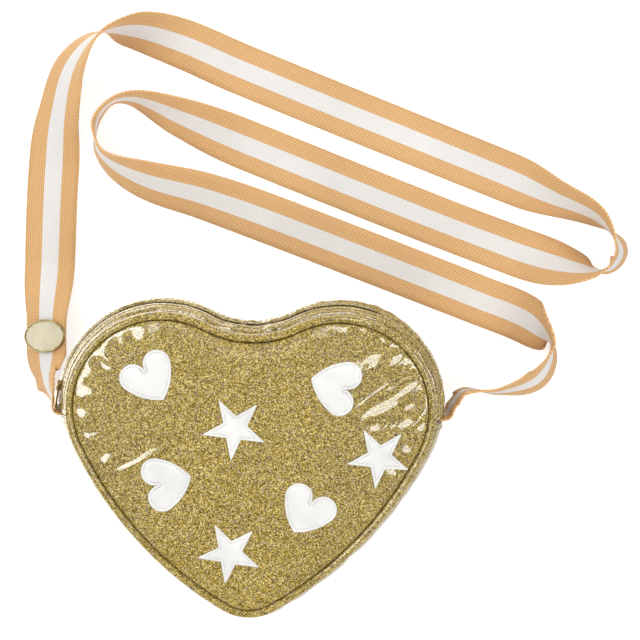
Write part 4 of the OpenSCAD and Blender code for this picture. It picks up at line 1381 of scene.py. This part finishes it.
class BAG_OT_zip(Operator):
    """Makes the zip's teeth, dresses its tapes and stops, and rounds the slider and the puller"""
    bl_idname = "bag.zip"
    bl_label = "Zip"

    def execute(self, context):
        values = context.scene.bag_zip
        start, end = lobe_distance(ZIP_START + math.radians(1.6)), lobe_distance(ZIP_END + math.radians(1.6))
        for name, way, offset in (("zip_teeth_front", 1, 0.0),
                                  ("zip_teeth_back", -1, 0.5 * values.tooth_pitch)):
            s = np.linspace(-start + offset, end, 500)
            points, out = seam_at(s)
            reach = TEETH_GAP + TEETH_WIDTH / 2
            angle = ZIP_TILT + way * reach / BAND_R
            spot = band_point(angle, -TEETH_DEPTH - TEETH_HEIGHT / 2)
            line = np.column_stack([points + out * spot[0], np.full(len(s), spot[1])])
            side = np.array([-math.sin(angle), math.cos(angle)]) * way
            away = np.column_stack([out * side[0], np.full(len(s), side[1])])
            teeth = grow(name.replace("zip_teeth", "coil"), line, teeth_tree,
                         {"Pitch": values.tooth_pitch, "Tooth width": TEETH_WIDTH,
                          "Tooth height": TEETH_HEIGHT, "Material": coil_nylon()}, away=away)
            belong(teeth, "zip_teeth", name)
        for node in ("zip_tape_front", "zip_tape_back"):
            dress(node, zip_tape())
        for node in ("zip_top_stops", "zip_bottom_stop"):
            dress(node, antique_metal())
        for node, body in (("zip_slider", "slider"), ("zip_puller", "puller")):
            belong(self.rounded(node, values.metal_round), "zip_metal", node, body=body)
        return {"FINISHED"}

    def rounded(self, node, width):
        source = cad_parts[node]
        work = bmesh.new()
        work.from_mesh(source.data)
        bmesh.ops.remove_doubles(work, verts=work.verts, dist=0.000002)
        bmesh.ops.dissolve_limit(work, angle_limit=math.radians(2), verts=work.verts, edges=work.edges)
        mesh = bpy.data.meshes.new(node + "_metal")
        work.to_mesh(mesh)
        work.free()
        mesh.transform(source.matrix_world)
        mesh.materials.clear()
        mesh.materials.append(antique_metal())
        piece = bpy.data.objects.new(node + "_metal", mesh)
        bpy.context.scene.collection.objects.link(piece)
        bevel = piece.modifiers.new("Bevel", "BEVEL")
        bevel.width = width
        bevel.segments = 2
        bevel.limit_method = "ANGLE"
        bevel.angle_limit = math.radians(35)
        graph = bpy.context.evaluated_depsgraph_get()
        done = bpy.data.meshes.new_from_object(piece.evaluated_get(graph), depsgraph=graph)
        piece.modifiers.clear()
        piece.data = done
        done.polygons.foreach_set("use_smooth", [True] * len(done.polygons))
        sharpen(piece, 30)
        return piece


def heart_outline():
    """Outline of a small heart with its axis along X, centred between its ends."""
    c = np.array([HEART_RISE, HEART_LOBE_R])
    d = np.linalg.norm(c)
    along = (HEART_SIDE_R ** 2 - (HEART_SIDE_R - HEART_LOBE_R) ** 2 + d ** 2) / (2 * d)
    centre = c / d * along + np.array([c[1], -c[0]]) / d * math.sqrt(HEART_SIDE_R ** 2 - along ** 2)
    a0, a1 = math.atan2(-centre[1], -centre[0]), math.atan2(c[1] - centre[1], c[0] - centre[0])
    a = np.linspace(a0, a1, 60)
    b = np.linspace(a1, -math.pi / 2, 120)
    half = np.concatenate([
        np.stack([centre[0] + HEART_SIDE_R * np.cos(a), centre[1] + HEART_SIDE_R * np.sin(a)], axis=1),
        np.stack([c[0] + HEART_LOBE_R * np.cos(b), c[1] + HEART_LOBE_R * np.sin(b)], axis=1)])
    whole = np.concatenate([half, (half * [1, -1])[-2:0:-1]])
    return (whole - [(HEART_RISE + HEART_LOBE_R) / 2, 0])[::-1]


def star_outline():
    """Outline of a five-pointed star with one point along X and slightly blunt points."""
    points = []
    for k in range(5):
        for turn, radius in ((-STAR_BLUNT, STAR_R), (STAR_BLUNT, STAR_R), (math.pi / 5, STAR_INNER_R)):
            a = 2 * math.pi * k / 5 + turn
            points.append((radius * math.cos(a), radius * math.sin(a)))
    return np.array(points)


def outline_distance(points, outline):
    return np.sqrt(((points[:, None] - outline[None]) ** 2).sum(axis=2).min(axis=1))


def inset_outline(outline, inset, count):
    """The outline drawn in by a distance, with what would cross itself left out."""
    before, after = np.roll(outline, 1, axis=0), np.roll(outline, -1, axis=0)
    way = after - before
    way /= np.linalg.norm(way, axis=1)[:, None]
    inward = np.stack([-way[:, 1], way[:, 0]], axis=1)
    drawn = outline + inward * inset
    round_corners = []
    for p, a, b in zip(outline, before, after):
        turn = (p - a)[0] * (b - p)[1] - (p - a)[1] * (b - p)[0]
        if turn < -1e-9:
            angle = np.linspace(0, 2 * math.pi, 72)
            round_corners.append(p + inset * np.stack([np.cos(angle), np.sin(angle)], axis=1))
    drawn = np.concatenate([drawn] + round_corners)
    drawn = drawn[outline_distance(drawn, outline) > 0.985 * inset]
    reach = np.linalg.norm(drawn, axis=1)
    angle = np.arctan2(drawn[:, 1], drawn[:, 0])
    own = np.arctan2(outline[:, 1], outline[:, 0])
    order = np.argsort(own)
    limit = np.interp(angle, own[order], np.linalg.norm(outline, axis=1)[order], period=2 * math.pi)
    kept = drawn[reach < limit]
    kept = kept[np.argsort(np.arctan2(kept[:, 1], kept[:, 0]))]
    return even_outline(kept, count)


class BAG_OT_patches(Operator):
    """Makes the white hearts and stars with their sewn lines"""
    bl_idname = "bag.patches"
    bl_label = "Hearts and stars"

    def execute(self, context):
        for i, (x, y, turn) in enumerate(HEARTS):
            self.patch("heart_%d" % (i + 1), "heart_motif_%d" % (i + 1), heart_outline(), x, y, turn)
        for i, (x, y, turn) in enumerate(STARS):
            self.patch("star_%d" % (i + 1), "star_motif_%d" % (i + 1), star_outline(), x, y, turn)
        return {"FINISHED"}

    def patch(self, name, node, outline, x, y, turn):
        values = bpy.context.scene.bag_patches
        sewing = bpy.context.scene.bag_sewing
        outline = even_outline(outline, 300)
        turn = math.radians(turn)
        spin = np.array([[math.cos(turn), -math.sin(turn)], [math.sin(turn), math.cos(turn)]])
        place = np.array([x, y]) * BODY_HALF_W

        def top(xy):
            local = (xy - place) @ spin
            depth = outline_distance(local, outline)
            rim = np.clip(depth / 0.0006, 0, 1)
            edge = np.sqrt(1 - (1 - rim) ** 2)
            line = np.exp(-((depth - values.inset) / 0.00028) ** 2)
            puff = 0.00025 * (1 - np.exp(-np.maximum(depth - values.inset, 0) / 0.0015))
            return front_height(xy) + 0.00005 + values.height * edge - values.groove * line + puff

        def under(xy):
            return front_height(xy) - 0.0001

        world = place + outline @ spin.T
        patch = pillow(name, world, place, 34, 1.45, top, under, patch_vinyl())
        belong(patch, "white_vinyl", node)
        inner = inset_outline(outline, values.inset, 400)
        on_front = place + inner @ spin.T
        height = top(on_front) + 0.6 * sewing.thread
        rows = grow(name + "_stitches", np.column_stack([on_front, height]), stitch_tree,
                    {"Pitch": PATCH_STITCH, "Thread radius": 0.7 * sewing.thread, "Fill": 0.8,
                     "Material": patch_thread()}, closed=True)
        belong(rows, "white_vinyl")


class BAG_OT_seams(Operator):
    """Sews the rows of stitches along the zip and beside the strap's ends"""
    bl_idname = "bag.seams"
    bl_label = "Seams"

    def execute(self, context):
        sewing = context.scene.bag_sewing
        top_end = lobe_distance(-SEAM_DROP)
        values = {"Pitch": sewing.pitch, "Thread radius": sewing.thread, "Fill": 0.74,
                  "Material": gold_thread()}
        s = np.linspace(-top_end + 0.003, top_end - 0.003, 900)
        points, out = seam_at(s)
        for name, way in (("front", 1), ("back", -1)):
            spot = band_point(ZIP_TILT + way * SEWN_AT / BAND_R, -0.00008)
            line = np.column_stack([points + out * spot[0], np.full(len(s), spot[1])])
            belong(grow("zip_stitches_" + name, line, stitch_tree, values), "glitter_vinyl")
        for name, side in (("right", 1), ("left", -1)):
            for part, drop in (("upper", -SEAM_DROP + math.radians(4.2)),
                               ("lower", -SEAM_DROP - math.radians(4.2))):
                at = side * lobe_distance(drop)
                point, way = seam_at(np.array([at]))
                angle = np.linspace(-BAND_END * 0.9, BAND_END * 0.9, 60)
                if part == "upper":
                    angle = angle[np.abs(angle - ZIP_TILT) * BAND_R > 0.0016]
                profile = np.array([band_point(a, 0.00012) for a in angle])
                line = np.column_stack([point[0] + way[0] * profile[:, :1], profile[:, 1:]])
                row = grow("cross_stitches_%s_%s" % (part, name), line, stitch_tree, values)
                belong(row, "glitter_vinyl")
        return {"FINISHED"}


class BAG_OT_inside(Operator):
    """Dresses the foam, the linings, the bindings and the piping's cords"""
    bl_idname = "bag.inside"
    bl_label = "Inside"

    def execute(self, context):
        for node in ("front_foam", "back_foam"):
            dress(node, foam_sheet())
        for node in ("front_lining", "back_lining", "lower_gusset_lining", "zip_gusset_lining",
                     "front_seam_binding", "back_seam_binding"):
            dress(node, lining_cloth())
        for node in ("front_piping_cord", "back_piping_cord"):
            dress(node, filler_vinyl())
        return {"FINISHED"}


class BAG_PT_panel(Panel):
    """Sizes, colours and pieces of the bag"""
    bl_label = "Heart shoulder bag"
    bl_idname = "BAG_PT_panel"
    bl_space_type = "VIEW_3D"
    bl_region_type = "UI"
    bl_category = "Bag"

    def draw(self, context):
        for name, group in GROUPS:
            box = self.layout.box()
            box.label(text=name.replace("bag_", "").capitalize())
            for key in group.__annotations__:
                box.prop(getattr(context.scene, name), key)
        for operator in OPERATORS:
            self.layout.operator(operator.bl_idname)


GROUPS = [
    ("bag_stage", BAG_PG_stage), ("bag_webbing", BAG_PG_webbing), ("bag_body", BAG_PG_body),
    ("bag_zip", BAG_PG_zip), ("bag_patches", BAG_PG_patches), ("bag_sewing", BAG_PG_sewing),
    ("bag_finish", BAG_PG_finish),
]
OPERATORS = [
    BAG_OT_stage, BAG_OT_webbing, BAG_OT_panels, BAG_OT_piping, BAG_OT_bands, BAG_OT_zip, BAG_OT_patches,
    BAG_OT_seams, BAG_OT_inside,
]


def register():
    for _, group in GROUPS:
        bpy.utils.register_class(group)
    for operator in OPERATORS:
        bpy.utils.register_class(operator)
    bpy.utils.register_class(BAG_PT_panel)
    for name, group in GROUPS:
        setattr(bpy.types.Scene, name, PointerProperty(type=group))


def unregister():
    for name, _ in GROUPS:
        delattr(bpy.types.Scene, name)
    for kind in [BAG_PT_panel] + OPERATORS[::-1] + [group for _, group in GROUPS[::-1]]:
        bpy.utils.unregister_class(kind)


def main():
    register()
    bpy.ops.bag.stage()
    bpy.ops.bag.webbing()
    bpy.ops.bag.panels()
    bpy.ops.bag.piping()
    bpy.ops.bag.bands()
    bpy.ops.bag.zip()
    bpy.ops.bag.patches()
    bpy.ops.bag.seams()
    bpy.ops.bag.inside()


if __name__ == "__main__":
    main()
